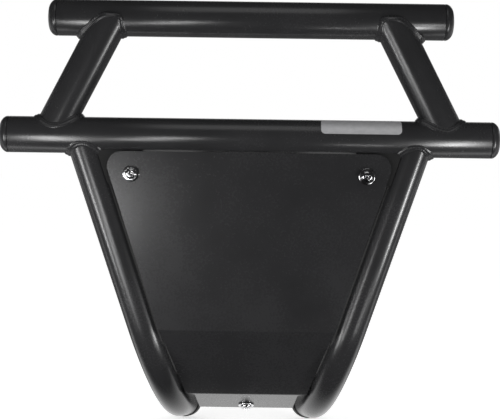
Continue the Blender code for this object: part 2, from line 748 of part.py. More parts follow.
def make_frame_tabs(shop, lower_cutter):
    """Drilled tabs behind the lower crossbar, for the upper frame bolts."""
    half = FRAME_TAB_HEIGHT / 2
    for side, word in ((-1, "left"), (1, "right")):
        tip = BAR_R + FRAME_TAB_REACH - half
        corners = [(0, half), (0, -half)]
        corners += arc_points((tip, 0), half, -math.pi / 2, math.pi / 2, 2 * ARC_STEPS)
        name = f"{word}_frame_tab"
        mesh = outline_mesh(name, corners, FRAME_TAB_THICKNESS)
        stand = Matrix(((0, 0, 1, side * FRAME_TAB_SPAN / 2), (1, 0, 0, 0), (0, 1, 0, 0), (0, 0, 0, 1)))
        mesh.transform(stand)
        tab = shop.part(name, mesh, "frame_coat")
        cut(tab, lower_cutter)
        place = Vector((side * FRAME_TAB_SPAN / 2, tip, 0))
        drill(shop, tab, f"{word}_frame_hole", MOUNT_HOLE_DIAMETER / 2, place, ACROSS,
              4 * FRAME_TAB_THICKNESS)
        smooth(tab.data)


def cap_profile():
    """Half section of a bar end cap: domed face, rounded taper, rim and spigot."""
    face_r = CAP_FACE_DIAMETER / 2
    height = CAP_RIM + CAP_TAPER_DEPTH + CAP_DOME
    spigot_r = BAR_R - BAR_WALL - FIT_GAP
    shoulder = CAP_RIM + CAP_TAPER_DEPTH
    profile = [(0, height), (face_r / 2, height - CAP_DOME / 4), (face_r, shoulder)]
    middle_r = (face_r + BAR_R) / 2
    profile.append((middle_r + CAP_DOME / 2, CAP_RIM + CAP_TAPER_DEPTH / 2 + CAP_DOME / 2))
    profile += [(BAR_R, CAP_RIM), (BAR_R, 0), (spigot_r, 0)]
    return profile + [(spigot_r, -CAP_SPIGOT_LENGTH), (0, -CAP_SPIGOT_LENGTH)]


def make_end_caps(shop):
    """Turned caps pressed into the crossbars' ends."""
    bars = (("upper", UPPER_BAR_LENGTH, UPPER_AXIS), ("lower", LOWER_BAR_LENGTH, Vector()))
    for level, length, axis in bars:
        for side, word in ((-1, "left"), (1, "right")):
            name = f"{level}_{word}_end_cap"
            cap = shop.part(name, turned_mesh(name, cap_profile()), "cap_alloy")
            turn(cap, TURNED_STEPS)
            out = side * ACROSS
            place = axis + out * (length / 2 + FIT_GAP)
            cap.matrix_local = stand_at(place, out)


def tail_cap_profile():
    """Half section of a cup slipped over a tail, seated on the tube's end at z = 0."""
    inner_r = DOWN_R + FIT_GAP
    outer_r = inner_r + TAIL_CAP_WALL
    corner = (outer_r - TAIL_CAP_EDGE_RADIUS, TAIL_CAP_WALL - TAIL_CAP_EDGE_RADIUS)
    profile = [(0, TAIL_CAP_WALL)] + arc_points(corner, TAIL_CAP_EDGE_RADIUS, math.pi / 2, 0)
    return profile + [(outer_r, -TAIL_CAP_DEPTH), (inner_r, -TAIL_CAP_DEPTH), (inner_r, 0), (0, 0)]


def make_tail_caps(shop):
    """Soft caps that close the down tubes' rear ends."""
    for side, word in ((-1, "left"), (1, "right")):
        points, tail = down_tube_axis(side)
        name = f"{word}_tail_cap"
        cap = shop.part(name, turned_mesh(name, tail_cap_profile()), "cap_vinyl")
        turn(cap, TURNED_STEPS)
        place = points[-1] + FIT_GAP * tail
        cap.matrix_local = stand_at(place, tail)


def make_fasteners(shop):
    """The three screws that hold the plate."""
    face_stack = PLATE_THICKNESS + FIT_GAP + PLATE_TAB_THICKNESS
    lip_stack = PLATE_THICKNESS + FIT_GAP + BRACKET_THICKNESS
    for word, place, out in screw_places():
        make_screw_set(shop, word, place, out, lip_stack if word == "lip" else face_stack)


def build():
    """Make every piece, then move the datum so that the lower mount is at the origin."""
    clear_scene()
    shop = Workshop()
    lower_cutter = bar_cutter(shop, "lower_cope", Vector(), LOWER_BAR_LENGTH)
    upper_cutter = bar_cutter(shop, "upper_cope", UPPER_AXIS, UPPER_BAR_LENGTH)
    notches = {side: tube_cutter(shop, side, word) for side, word in ((-1, "left"), (1, "right"))}
    make_crossbars(shop)
    make_uprights(shop, lower_cutter, upper_cutter)
    make_down_tubes(shop, lower_cutter)
    make_welds(shop)
    make_skid_plate(shop)
    make_plate_tabs(shop, notches)
    make_lower_bracket(shop, notches)
    make_frame_tabs(shop, lower_cutter)
    make_fasteners(shop)
    make_end_caps(shop)
    make_tail_caps(shop)
    _, _, bracket_top = bracket_chain()
    shop.datum.location = -(bracket_top - UP * BRACKET_HEIGHT / 2)


build()
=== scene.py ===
# %% [markdown]
# # Front bumper of a quad bike
# Two round crossbars are joined by leaning uprights. Two thinner tubes run down from the lower
# bar, bend back under the vehicle and carry a folded skid plate. Everything is drawn in metres,
# and -Y is the front.

import math

import bmesh
import bpy
import numpy as np
from mathutils import Matrix, Vector


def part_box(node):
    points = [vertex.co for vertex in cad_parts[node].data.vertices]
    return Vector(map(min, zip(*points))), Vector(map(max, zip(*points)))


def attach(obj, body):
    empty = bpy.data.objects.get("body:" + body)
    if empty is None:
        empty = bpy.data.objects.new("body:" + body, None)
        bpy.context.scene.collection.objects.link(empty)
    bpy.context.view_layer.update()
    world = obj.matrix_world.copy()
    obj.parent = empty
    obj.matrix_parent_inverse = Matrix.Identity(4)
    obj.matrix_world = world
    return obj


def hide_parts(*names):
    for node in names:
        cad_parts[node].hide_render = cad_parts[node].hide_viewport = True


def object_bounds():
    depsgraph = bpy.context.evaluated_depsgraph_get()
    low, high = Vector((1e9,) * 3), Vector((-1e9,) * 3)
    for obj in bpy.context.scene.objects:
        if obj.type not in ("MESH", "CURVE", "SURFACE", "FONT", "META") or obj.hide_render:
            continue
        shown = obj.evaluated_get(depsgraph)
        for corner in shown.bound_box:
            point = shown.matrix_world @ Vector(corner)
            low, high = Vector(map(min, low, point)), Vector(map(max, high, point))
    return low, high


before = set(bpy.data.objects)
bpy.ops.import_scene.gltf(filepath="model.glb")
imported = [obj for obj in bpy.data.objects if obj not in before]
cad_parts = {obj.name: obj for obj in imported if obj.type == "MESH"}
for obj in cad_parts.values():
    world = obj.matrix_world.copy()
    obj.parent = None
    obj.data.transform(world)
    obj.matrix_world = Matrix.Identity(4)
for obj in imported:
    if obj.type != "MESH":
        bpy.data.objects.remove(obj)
cad_low, cad_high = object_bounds()
MM = 0.001
bar_low, bar_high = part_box("lower_crossbar")
AXIS = (np.array(bar_low) + np.array(bar_high)) / 2
print("CAD nodes:", len(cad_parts), " lower bar's axis:", np.round(AXIS, 4))

# %% [markdown]
# ## Sizes
# The tubes are common sizes, 1 3/4 inch for the bars and 1 1/2 inch for the down tubes. All
# places are measured from the middle of the lower crossbar's axis.

# %% Sizes
BAR_R = 22.225 * MM
BAR_WALL = 2.6 * MM
LOWER_LENGTH = 589 * MM
UPPER_LENGTH = 472.5 * MM
BAR_SPACING = 143.4 * MM
UPRIGHT_SET_BACK = 4 * MM
UPPER_SET_BACK = 7 * MM
FOOT_INSET = 49.5 * MM
HEAD_INSET = 65.75 * MM
FOOT_TRIM = 4.5 * MM
DOWN_R = 19.05 * MM
DOWN_WALL = 2.3 * MM
DOWN_INSET = 87 * MM
DOWN_LEAN = math.radians(18.66)
DOWN_STRAIGHT = 246 * MM
BEND_RADIUS = 124 * MM
BEND_ANGLE = math.radians(79.4)
BEND_TOE_IN = math.radians(1.8)
TAIL_LENGTH = 64 * MM
PLATE_THICKNESS = 3 * MM
FIT_GAP = 0.3 * MM

ACROSS = np.array([1.0, 0, 0])
BACK = np.array([0, 1.0, 0])
UP = np.array([0, 0, 1.0])
LOWER_AXIS = np.zeros(3)
UPPER_AXIS = UPPER_SET_BACK * BACK + BAR_SPACING * UP
BARS = (("upper", UPPER_LENGTH, UPPER_AXIS), ("lower", LOWER_LENGTH, LOWER_AXIS))
SIDES = (("left", -1), ("right", 1))
scene = bpy.context.scene
scene.view_settings.view_transform = "Standard"

# %% [markdown]
# ## Camera
# The photograph is taken from straight ahead with a long lens, a little above the lower bar. The
# camera is placed from the lower bar's axis, so it stays true if the bumper is moved.

# %% Camera at the photograph's angle
CAMERA_PLACE = np.array([7.0, -1750.0, 10.7]) * MM
CAMERA_YAW, CAMERA_PITCH, CAMERA_ROLL = np.radians([-0.17, -3.25, 0.78])
PHOTO_WIDTH, FOCAL_PIXELS, SENSOR_WIDTH = 500, 1426.5, 36


def camera_matrix(place, yaw, pitch, roll):
    """Camera pose: it looks along (sin yaw cos pitch, cos yaw cos pitch, sin pitch), and is
    rolled about that line."""
    ahead = np.array([math.sin(yaw) * math.cos(pitch), math.cos(yaw) * math.cos(pitch),
                      math.sin(pitch)])
    level = np.array([math.cos(yaw), -math.sin(yaw), 0])
    rise = np.cross(level, ahead)
    right = math.cos(roll) * level + math.sin(roll) * rise
    up = math.cos(roll) * rise - math.sin(roll) * level
    rows = np.column_stack([right, up, -ahead, place])
    return Matrix([(*row,) for row in rows] + [(0, 0, 0, 1)])


camera = bpy.data.objects.new("camera", bpy.data.cameras.new("camera"))
scene.collection.objects.link(camera)
camera.data.sensor_width = SENSOR_WIDTH
camera.data.lens = SENSOR_WIDTH * FOCAL_PIXELS / PHOTO_WIDTH
camera.matrix_world = camera_matrix(AXIS + CAMERA_PLACE, CAMERA_YAW, CAMERA_PITCH, CAMERA_ROLL)
scene.camera = camera
print("lens:", round(camera.data.lens, 2), "mm")

# %% [markdown]
# ## Helpers for surfaces
# A tube, a turned cap and a weld bead are all a ring of points carried along a line. One helper
# skins such a grid of points, and another turns a profile.

# %% Skinning a grid of points
TURN_SIDES = 96
SAME_POINT = 1e-8


def unit(vectors):
    """Vectors scaled to length one."""
    return vectors / np.linalg.norm(vectors, axis=-1, keepdims=True)


def around(sides):
    """Evenly spaced angles of a full turn: 2 pi times the number of each over how many."""
    return np.arange(sides) * 2 * math.pi / sides


def run_along(line):
    """Distance of each point of a line from its start: the sum of the steps so far."""
    return np.concatenate([[0], np.cumsum(np.linalg.norm(np.diff(line, axis=0), axis=1))])


def outward(mesh):
    """Turn all faces of a closed mesh outwards."""
    work = bmesh.new()
    work.from_mesh(mesh)
    bmesh.ops.recalc_face_normals(work, faces=work.faces)
    work.to_mesh(mesh)
    work.free()
    return mesh


def skin(name, grid, loop=False):
    """Mesh over a grid of points, rows by columns. Each four neighbours make a face, each row
    is closed into a ring, loop joins the last row to the first, and a row drawn to one point is
    a pole."""
    rows, columns = grid.shape[:2]
    ids = np.arange(rows * columns).reshape(rows, columns)
    pole = np.ptp(grid, axis=1).max(axis=1) < SAME_POINT
    ids[pole] = ids[pole, :1]
    ids = np.column_stack([ids, ids[:, :1]])
    if loop:
        ids = np.vstack([ids, ids[:1]])
    quads = np.stack([ids[:-1, :-1], ids[1:, :-1], ids[1:, 1:], ids[:-1, 1:]], axis=-1)
    used, corners = np.unique(quads.reshape(-1, 4), return_inverse=True)
    corners = corners.reshape(-1, 4)
    first = corners[:, 0] == corners[:, 3]
    last = corners[:, 1] == corners[:, 2]
    faces = corners[~first & ~last].tolist()
    faces += corners[first][:, :3].tolist() + corners[last][:, [0, 1, 3]].tolist()
    mesh = bpy.data.meshes.new(name)
    mesh.from_pydata((grid.reshape(-1, 3)[used] + AXIS).tolist(), [], faces)
    return outward(mesh)


def turned(rows, sides=TURN_SIDES):
    """Surface turned about Z: each (radius, height) of the rows goes round as
    (r cos a, r sin a, height). A radius may also be one number for each angle."""
    angle = around(sides)
    radius = np.array([np.broadcast_to(radii, sides) for radii, _ in rows])
    height = np.array([np.broadcast_to(level, sides) for _, level in rows])
    return np.stack([radius * np.cos(angle), radius * np.sin(angle), height], axis=-1)


def stood(grid, place, direction):
    """Grid turned so that its Z lies along a direction, then moved to a place."""
    turn = Vector((0, 0, 1)).rotation_difference(Vector(direction)).to_matrix()
    return grid @ np.array(turn).T + place


def arc(centre, radius, start, end, steps):
    """Points on an arc: centre + radius (cos a, sin a), a from start to end in degrees."""
    angle = np.radians(np.linspace(start, end, steps + 1))
    return [(centre[0] + radius * c, centre[1] + radius * s)
            for c, s in zip(np.cos(angle), np.sin(angle))]


def piece(name, mesh, material, nodes=(), sharp=40):
    """Put a finished mesh on the bumper, in place of the CAD nodes that it stands for. Edges
    that turn by more than sharp degrees stay crisp."""
    item = bpy.data.objects.new(name, mesh)
    scene.collection.objects.link(item)
    mesh.materials.append(material)
    mesh.shade_smooth()
    mesh.set_sharp_from_angle(angle=math.radians(sharp))
    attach(item, "root")
    if nodes:
        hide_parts(*nodes)
    return item


# %% [markdown]
# ## Finishes
# The frame is sandblasted, powder coated and baked: a satin black skin with a fine orange-peel
# texture. The beads, the sheet and the tubes share that coat. The plate tabs get a darker, duller
# copy of it, as painted shade for the gap behind the plate. The screws and washers are chromed,
# and the nuts are zinc plated.

# %% Node helpers
FLOAT, COLOR, VECTOR = "NodeSocketFloat", "NodeSocketColor", "NodeSocketVector"


def new_group(name, inputs):
    """Node group with named inputs, which gives a colour, a roughness and a normal."""
    group = bpy.data.node_groups.new(name, "ShaderNodeTree")
    for label, kind, value in inputs:
        socket = group.interface.new_socket(name=label, in_out="INPUT", socket_type=kind)
        socket.default_value = value
    for label, kind in (("Color", COLOR), ("Roughness", FLOAT), ("Normal", VECTOR)):
        group.interface.new_socket(name=label, in_out="OUTPUT", socket_type=kind)
    return group, group.nodes.new("NodeGroupInput"), group.nodes.new("NodeGroupOutput")


def add(tree, kind, **values):
    """New node: names of inputs and properties with their values; a socket value is linked."""
    node = tree.nodes.new(kind)
    for key, value in values.items():
        label = key.replace("_", " ")
        target = node.inputs.get(label) if label in node.inputs else None
        if isinstance(value, bpy.types.NodeSocket):
            tree.links.new(value, target)
        elif target is not None:
            target.default_value = value
        else:
            setattr(node, key, value)
    return node


def math_node(tree, operation, *values):
    """Sum, product or another operation on numbers or sockets."""
    node = tree.nodes.new("ShaderNodeMath")
    node.operation = operation
    for socket, value in zip(node.inputs, values):
        if isinstance(value, bpy.types.NodeSocket):
            tree.links.new(value, socket)
        else:
            socket.default_value = value
    return node.outputs[0]


def toned(group, given, noise, low, high):
    """The given shade, times a number from low to high that follows a noise."""
    share = add(group, "ShaderNodeMapRange", Value=noise, From_Min=0.3, From_Max=0.7,
                To_Min=low, To_Max=high)
    tone = add(group, "ShaderNodeVectorMath", operation="SCALE", Scale=share.outputs[0])
    group.links.new(given.outputs["Shade"], tone.inputs[0])
    return tone.outputs[0]


def finish(name, group, **values):
    """Material whose colour, roughness and normal come from a node group with these values."""
    material = bpy.data.materials.new(name)
    material.use_nodes = True
    tree = material.node_tree
    shader = tree.nodes["Principled BSDF"]
    surface = tree.nodes.new("ShaderNodeGroup")
    surface.node_tree = group
    for label, value in values.items():
        surface.inputs[label.replace("_", " ")].default_value = value
    for made in ("Color", "Roughness", "Normal"):
        wanted = "Base Color" if made == "Color" else made
        tree.links.new(surface.outputs[made], shader.inputs[wanted])
    return material, shader


# %% Orange-peel coat
PEEL_HEIGHT = 0.02 * MM
DRIFT_SCALE, SPECK_SCALE = 14.0, 420.0
DRIFT_GLOSS, SPECK_GLOSS = 0.08, 0.06


def peel_group():
    """Powder coat: fine bumps, with a slow drift of gloss and shade over the surface."""
    group, given, made = new_group("powder_coat_peel", [
        ("Shade", COLOR, (0.01, 0.01, 0.01, 1)), ("Gloss", FLOAT, 0.38),
        ("Bump scale", FLOAT, 900.0), ("Bump strength", FLOAT, 0.1)])
    place = group.nodes.new("ShaderNodeTexCoord").outputs["Object"]
    peel = add(group, "ShaderNodeTexNoise", Vector=place, Scale=given.outputs["Bump scale"],
               Detail=2.0)
    drift = add(group, "ShaderNodeTexNoise", Vector=place, Scale=DRIFT_SCALE, Detail=3.0)
    speck = add(group, "ShaderNodeTexNoise", Vector=place, Scale=SPECK_SCALE, Detail=1.0)
    slow = math_node(group, "MULTIPLY_ADD", drift.outputs["Fac"], DRIFT_GLOSS, -DRIFT_GLOSS / 2)
    fine = math_node(group, "MULTIPLY_ADD", speck.outputs["Fac"], SPECK_GLOSS, slow)
    bump = add(group, "ShaderNodeBump", Height=peel.outputs["Fac"], Distance=PEEL_HEIGHT,
               Strength=given.outputs["Bump strength"])
    group.links.new(toned(group, given, drift.outputs["Fac"], 0.86, 1.16), made.inputs["Color"])
    group.links.new(math_node(group, "ADD", given.outputs["Gloss"], fine),
                    made.inputs["Roughness"])
    group.links.new(bump.outputs["Normal"], made.inputs["Normal"])
    return group


PEEL = peel_group()


def coat(name, shade, gloss, bump_scale=1600.0, bump_strength=0.22, specular=0.5):
    """Powder-coat material."""
    material, shader = finish(name, PEEL, Shade=(*shade, 1), Gloss=gloss, Bump_scale=bump_scale,
                              Bump_strength=bump_strength)
    shader.inputs["Specular IOR Level"].default_value = specular
    return material


frame_coat = coat("frame_coat", (0.020, 0.020, 0.021), 0.23)
plate_coat = coat("plate_coat", (0.019, 0.019, 0.020), 0.24)
weld_coat = coat("weld_coat", (0.018, 0.018, 0.019), 0.24, bump_scale=600.0)
# Painted shade: the tabs' coat is darker and duller than the plate's, to stand for the shade in
# the gap behind the plate.
tab_painted_shade_coat = coat("tab_painted_shade_coat", (0.016, 0.016, 0.016), 0.6, specular=0.06)
cap_alloy = coat("cap_alloy", (0.020, 0.020, 0.021), 0.26, bump_scale=2600.0, bump_strength=0.1)
cap_vinyl = coat("cap_vinyl", (0.018, 0.018, 0.018), 0.5, bump_scale=1500.0)
print("coats:", len(bpy.data.materials))

# %% Bright metals
HAZE_SCALE, HAZE_GLOSS = 160.0, 0.1
SCRATCH_SCALE, SCRATCH_HEIGHT, SCRATCH_STRENGTH = 1400.0, 0.01 * MM, 0.1


def metal_group():
    """Turned or plated metal: fine drift of gloss and shade, and faint scratches."""
    group, given, made = new_group("bright_metal", [
        ("Shade", COLOR, (0.8, 0.8, 0.8, 1)), ("Gloss", FLOAT, 0.15)])
    place = group.nodes.new("ShaderNodeTexCoord").outputs["Object"]
    haze = add(group, "ShaderNodeTexNoise", Vector=place, Scale=HAZE_SCALE, Detail=4.0)
    scratch = add(group, "ShaderNodeTexNoise", Vector=place, Scale=SCRATCH_SCALE, Detail=2.0)
    amount = math_node(group, "MULTIPLY", haze.outputs["Fac"], HAZE_GLOSS)
    bump = add(group, "ShaderNodeBump", Height=scratch.outputs["Fac"], Distance=SCRATCH_HEIGHT,
               Strength=SCRATCH_STRENGTH)
    group.links.new(toned(group, given, haze.outputs["Fac"], 0.9, 1.05), made.inputs["Color"])
    group.links.new(math_node(group, "ADD", given.outputs["Gloss"], amount),
                    made.inputs["Roughness"])
    group.links.new(bump.outputs["Normal"], made.inputs["Normal"])
    return group


METAL = metal_group()


def metal(name, shade, gloss, metallic=1.0):
    """Bare or plated metal."""
    material, shader = finish(name, METAL, Shade=(*shade, 1), Gloss=gloss)
    shader.inputs["Metallic"].default_value = metallic
    return material


chrome_steel = metal("chrome_steel", (0.55, 0.55, 0.56), 0.14)
zinc_steel = metal("zinc_steel", (0.55, 0.55, 0.53), 0.28)
silver_film = metal("silver_film", (0.42, 0.42, 0.43), 0.38, metallic=0.3)
print("finishes:", len(bpy.data.materials))

# %% [markdown]
# ## Crossbars
# Straight round tube, sawn to length and deburred. A ring with its wall thickness, drawn round
# the axis, is the whole tube.

# %% Crossbars
DEBURR = 0.5 * MM
BAR_SIDES = 128


def crossbar(length, axis):
    """Tube about the X axis: the closed wall section (radius, place) is turned round it."""
    half = length / 2
    inner = BAR_R - BAR_WALL
    wall = [(BAR_R - DEBURR, half), (BAR_R, half - DEBURR), (BAR_R, 0), (BAR_R, DEBURR - half),
            (BAR_R - DEBURR, -half), (inner + DEBURR, -half), (inner, DEBURR - half),
            (inner, half - DEBURR), (inner + DEBURR, half)]
    return stood(turned(wall, BAR_SIDES), axis, ACROSS)


for level, length, axis in BARS:
    piece(f"{level}_crossbar_tube", skin(level, crossbar(length, axis), loop=True), frame_coat,
          [f"{level}_crossbar"], sharp=60)
    print(level, "crossbar:", round(length / MM), "mm")

# %% [markdown]
# ## Uprights and down tubes
# Each tube that meets a crossbar is fish-mouthed with a hole saw, so that it sits on the bar all
# round. For each line of the tube, its depth y fixes where it meets the bar: the height there is
# the square root of R squared less y squared.

# %% Coped tubes
COPE_LINES, COPE_GRIND = 1440, 0.025
TUBE_SIDES, TUBE_ROWS = 96, 8


def spoke(sideways, angle):
    """Directions out of a tube's axis: cos a sideways + sin a back."""
    return np.cos(angle)[:, None] * sideways + np.sin(angle)[:, None] * BACK


def cope(start, along, sideways, radius, axis, angle):
    """Travel along a tube at which each of its lines, at an angle round it, meets a crossbar."""
    ring = start + radius * spoke(sideways, angle)
    depth = ring[:, 1] - axis[1]
    height = np.sqrt(np.maximum(0, BAR_R ** 2 - depth ** 2))
    return (axis[2] + math.copysign(1, along[2]) * height - ring[:, 2]) / along[2]


def softened(ring, width):
    """Closed row of numbers, each moved to the bell-weighted mean of its neighbours. The weight
    of a neighbour is e to the power of minus half its distance over the width, squared."""
    count = len(ring)
    away = np.minimum(np.arange(count), count - np.arange(count))
    bell = np.exp(-0.5 * (away / width) ** 2)
    return np.fft.ifft(np.fft.fft(ring) * np.fft.fft(bell / bell.sum())).real


def ground_cope(start, along, sideways, radius, axis, angle):
    """The same travel after the corners of the cope are ground round for the weld."""
    table = around(COPE_LINES)
    sharp = cope(start, along, sideways, radius, axis, table)
    return np.interp(angle, table, softened(sharp, COPE_GRIND * COPE_LINES), period=2 * math.pi)


def on_tube(start, along, sideways, radius, angle, travel):
    """Points start + travel along + radius (cos a sideways + sin a back)."""
    return start + radius * spoke(sideways, angle) + travel[..., None] * along


def upright_line(side):
    """Foot, head and direction of an upright's axis."""
    middle = UPRIGHT_SET_BACK * BACK
    foot = side * (LOWER_LENGTH / 2 - FOOT_INSET) * ACROSS + middle
    head = side * (UPPER_LENGTH / 2 - HEAD_INSET) * ACROSS + middle + BAR_SPACING * UP
    return foot, head, unit(head - foot)


def upright_tube(side):
    """Upright: rows of its lines between the two copes, outside, then the inside back again."""
    foot, head, along = upright_line(side)
    sideways = unit(np.cross(along, BACK))
    angle = around(TUBE_SIDES)
    low = np.maximum(ground_cope(foot, along, sideways, BAR_R, LOWER_AXIS, angle), FOOT_TRIM)
    high = np.linalg.norm(head - foot) - ground_cope(head, -along, sideways, BAR_R, UPPER_AXIS,
                                                     angle)
    travel = low + (high - low) * np.linspace(0, 1, TUBE_ROWS)[:, None]
    outside = on_tube(foot, along, sideways, BAR_R, angle, travel)
    inside = on_tube(foot, along, sideways, BAR_R - BAR_WALL, angle, travel[::-1])
    return np.concatenate([outside, inside])


for word, side in SIDES:
    piece(f"{word}_upright_tube", skin(word, upright_tube(side), loop=True), frame_coat,
          [f"{word}_upright"], sharp=60)
    foot, head, _ = upright_line(side)
    print(word, "upright:", round(np.linalg.norm(head - foot) / MM, 1), "mm from axis to axis")

# %% Bent down tubes
BEND_STEPS = 48


def down_line(side):
    """Top of a down tube's axis, its direction, and the direction that it bends to."""
    along = np.array([-side * math.sin(DOWN_LEAN), 0, -math.cos(DOWN_LEAN)])
    inward = np.array([-side * math.cos(DOWN_LEAN), 0, math.sin(DOWN_LEAN)])
    bend_to = math.cos(BEND_TOE_IN) * BACK + math.sin(BEND_TOE_IN) * inward
    return side * (LOWER_LENGTH / 2 - DOWN_INSET) * ACROSS, along, bend_to


def down_axis(side):
    """Points of a down tube's axis from the bend to its end: R (sin t along + (1 - cos t)
    bend_to), then straight, with the directions there."""
    top, along, bend_to = down_line(side)
    turn = BEND_ANGLE * np.linspace(0, 1, BEND_STEPS + 1)[:, None]
    bend = (top + DOWN_STRAIGHT * along
            + BEND_RADIUS * (np.sin(turn) * along + (1 - np.cos(turn)) * bend_to))
    heading = np.cos(turn) * along + np.sin(turn) * bend_to
    centres = np.vstack([bend, bend[-1:] + TAIL_LENGTH * heading[-1:]])
    return centres, np.vstack([heading, heading[-1:]])


def down_tube(side):
    """Down tube: coped lines to the bend, rings round the bend and tail, then the inside again.
    A ring is centre + radius (cos t flank - sin t wide), with t counted so that the lines run on
    from the straight part."""
    top, along, bend_to = down_line(side)
    sideways = unit(np.cross(along, BACK))
    angle = around(TUBE_SIDES)
    low = cope(top, along, sideways, DOWN_R, LOWER_AXIS, angle)
    travel = low + (DOWN_STRAIGHT - low) * np.linspace(0, 1, TUBE_ROWS)[:-1, None]
    centres, heading = down_axis(side)
    flank = unit(np.cross(along, bend_to))
    wide = unit(np.cross(heading, flank))
    turn = angle - np.arctan2(flank @ BACK, flank @ sideways)
    ring = np.cos(turn)[:, None] * flank - np.sin(turn)[:, None] * wide[:, None]
    outside, inside = (np.vstack([on_tube(top, along, sideways, radius, angle, travel),
                                  centres[:, None] + radius * ring])
                       for radius in (DOWN_R, DOWN_R - DOWN_WALL))
    return np.concatenate([outside, inside[::-1]])


for word, side in SIDES:
    piece(f"{word}_down_tube_bent", skin(word, down_tube(side), loop=True), frame_coat,
          [f"{word}_down_tube"], sharp=60)
    print(word, "down tube ends at", np.round((down_axis(side)[0][-1] + AXIS) / MM, 1))

# %% [markdown]
# ## Saddle welds
# A welder runs two passes round each joint. Every dip of the filler leaves a ripple, a row of
# overlapping crescents. The bead is a small convex section carried round the seam: its face dips
# between the passes, and rises and falls once for each ripple.

# %% Rippled beads
BAR_LEG = 6.4 * MM
TUBE_LEG = 5.4 * MM
BEAD_RISE = 0.8 * MM
PASS_STEP = 0.25 * MM
RIPPLE_PITCH = 2.5 * MM
RIPPLE_HEIGHT = 0.14 * MM
RIPPLE_BOW, RIPPLE_DRIFT = 0.9, 0.25
TOE_SINK = 0.15 * MM
ROOT_DEPTH = 0.8 * MM
SLOW_WAVER, FAST_WAVER = 0.06, 0.04
FLUSH_TRIM = 0.7
BEAD_STATIONS, BEAD_COLUMNS, TANGENT_REACH = 640, 17, 4


def seam(start, along, radius, axis):
    """Evenly spaced points of the seam between tube and crossbar, with the tube's normals."""
    sideways = unit(np.cross(along, BACK))
    table = np.linspace(0, 2 * math.pi, COPE_LINES + 1)
    travel = ground_cope(start, along, sideways, radius, axis, table)
    run = run_along(on_tube(start, along, sideways, radius, table, travel))
    angle = np.interp(np.arange(BEAD_STATIONS) * run[-1] / BEAD_STATIONS, run, table)
    points = on_tube(start, along, sideways, radius, angle, np.interp(angle, table, travel))
    return points, spoke(sideways, angle), run[-1]


def bead(start, along, radius, axis, seed):
    """Weld bead: at each station a face from the toe on the bar to the toe on the tube. It
    rises as 4 s (1 - s), dips between its two passes as the cosine of 4 pi s, and ripples along
    the seam."""
    root, normal, length = seam(start, along, radius, axis)
    tangent = unit(np.roll(root, -TANGENT_REACH, axis=0) - np.roll(root, TANGENT_REACH, axis=0))
    on_bar = unit((root - axis) * [0, 1, 1])
    away = unit(np.cross(tangent, on_bar))
    away *= np.sign(np.sum(away * (normal - along), axis=1))[:, None]
    turn = around(BEAD_STATIONS)[:, None]
    uneven = 1 + SLOW_WAVER * np.sin(5 * turn + seed) + FAST_WAVER * np.sin(11 * turn + 2 * seed)
    round_bar = np.cross(ACROSS, on_bar)
    spin = BAR_LEG * uneven * np.sum(away * round_bar, axis=1)[:, None] / BAR_R
    bar_toe = axis + (BAR_R - TOE_SINK) * (np.cos(spin) * on_bar + np.sin(spin) * round_bar)
    bar_toe[:, 0] = root[:, 0] + (BAR_LEG * uneven)[:, 0] * away[:, 0]
    crossing = np.linalg.norm(np.cross(along, tangent), axis=1)
    lean = np.maximum(crossing, math.sqrt(0.5))[:, None]
    flush = np.maximum(0, np.sum(on_bar * normal, axis=1))[:, None]
    tube_toe = root + along * TUBE_LEG * (1 - FLUSH_TRIM * flush) * uneven / lean
    level = ((tube_toe - start) @ along)[:, None] * along
    tube_toe = start + level + (radius - TOE_SINK) * unit(tube_toe - start - level)
    out = unit(on_bar + normal)
    lift = np.maximum(0, np.sum((root - (bar_toe + tube_toe) / 2) * out, axis=1))[:, None, None]
    share = np.linspace(0, 1, BEAD_COLUMNS)[None, :, None]
    hump = 4 * share * (1 - share)
    step = -PASS_STEP * np.cos(4 * math.pi * (share - 0.5)) * np.minimum(1, 1.5 * hump)
    phase = (turn[:, None] / 2 * round(length / RIPPLE_PITCH) + RIPPLE_BOW * hump
             + RIPPLE_DRIFT * np.sin(7 * turn[:, None]))
    ripple = RIPPLE_HEIGHT * (np.abs(np.sin(phase)) - 0.5) * np.minimum(1, 1.6 * hump)
    face = bar_toe[:, None] + share * (tube_toe - bar_toe)[:, None]
    face = face + out[:, None] * ((BEAD_RISE + lift) * hump + step + ripple)
    return np.concatenate([root[:, None] - ROOT_DEPTH * out[:, None], face], axis=1)


for word, side in SIDES:
    foot, head, along = upright_line(side)
    top, down, _ = down_line(side)
    joints = (("upright_head", head, -along, BAR_R, UPPER_AXIS),
              ("upright_foot", foot, along, BAR_R, LOWER_AXIS),
              ("down_tube", top, down, DOWN_R, LOWER_AXIS))
    for number, (joint, start, heading, radius, axis) in enumerate(joints):
        grid = bead(start, heading, radius, axis, seed=number + 2.5 * side)
        piece(f"{word}_{joint}_bead", skin(joint, grid, loop=True), weld_coat,
              [f"{word}_{joint}_weld"], sharp=80)
        print(word, joint, "bead:", grid.shape[0], "stations")

# %% [markdown]
# ## Skid plate
# One piece of 3 mm sheet is cut flat, drilled and folded twice in a press brake. The drawing does
# the same: the flat blank is filled, cut at the fold lines, and its rows are then moved onto the
# folded line. A bevel rounds the edges of each sheet, but never by more than the shortest edge of
# its mesh allows. On the plate one fold line runs very close to a corner of the outline, so the
# bevel there is too narrow to see.

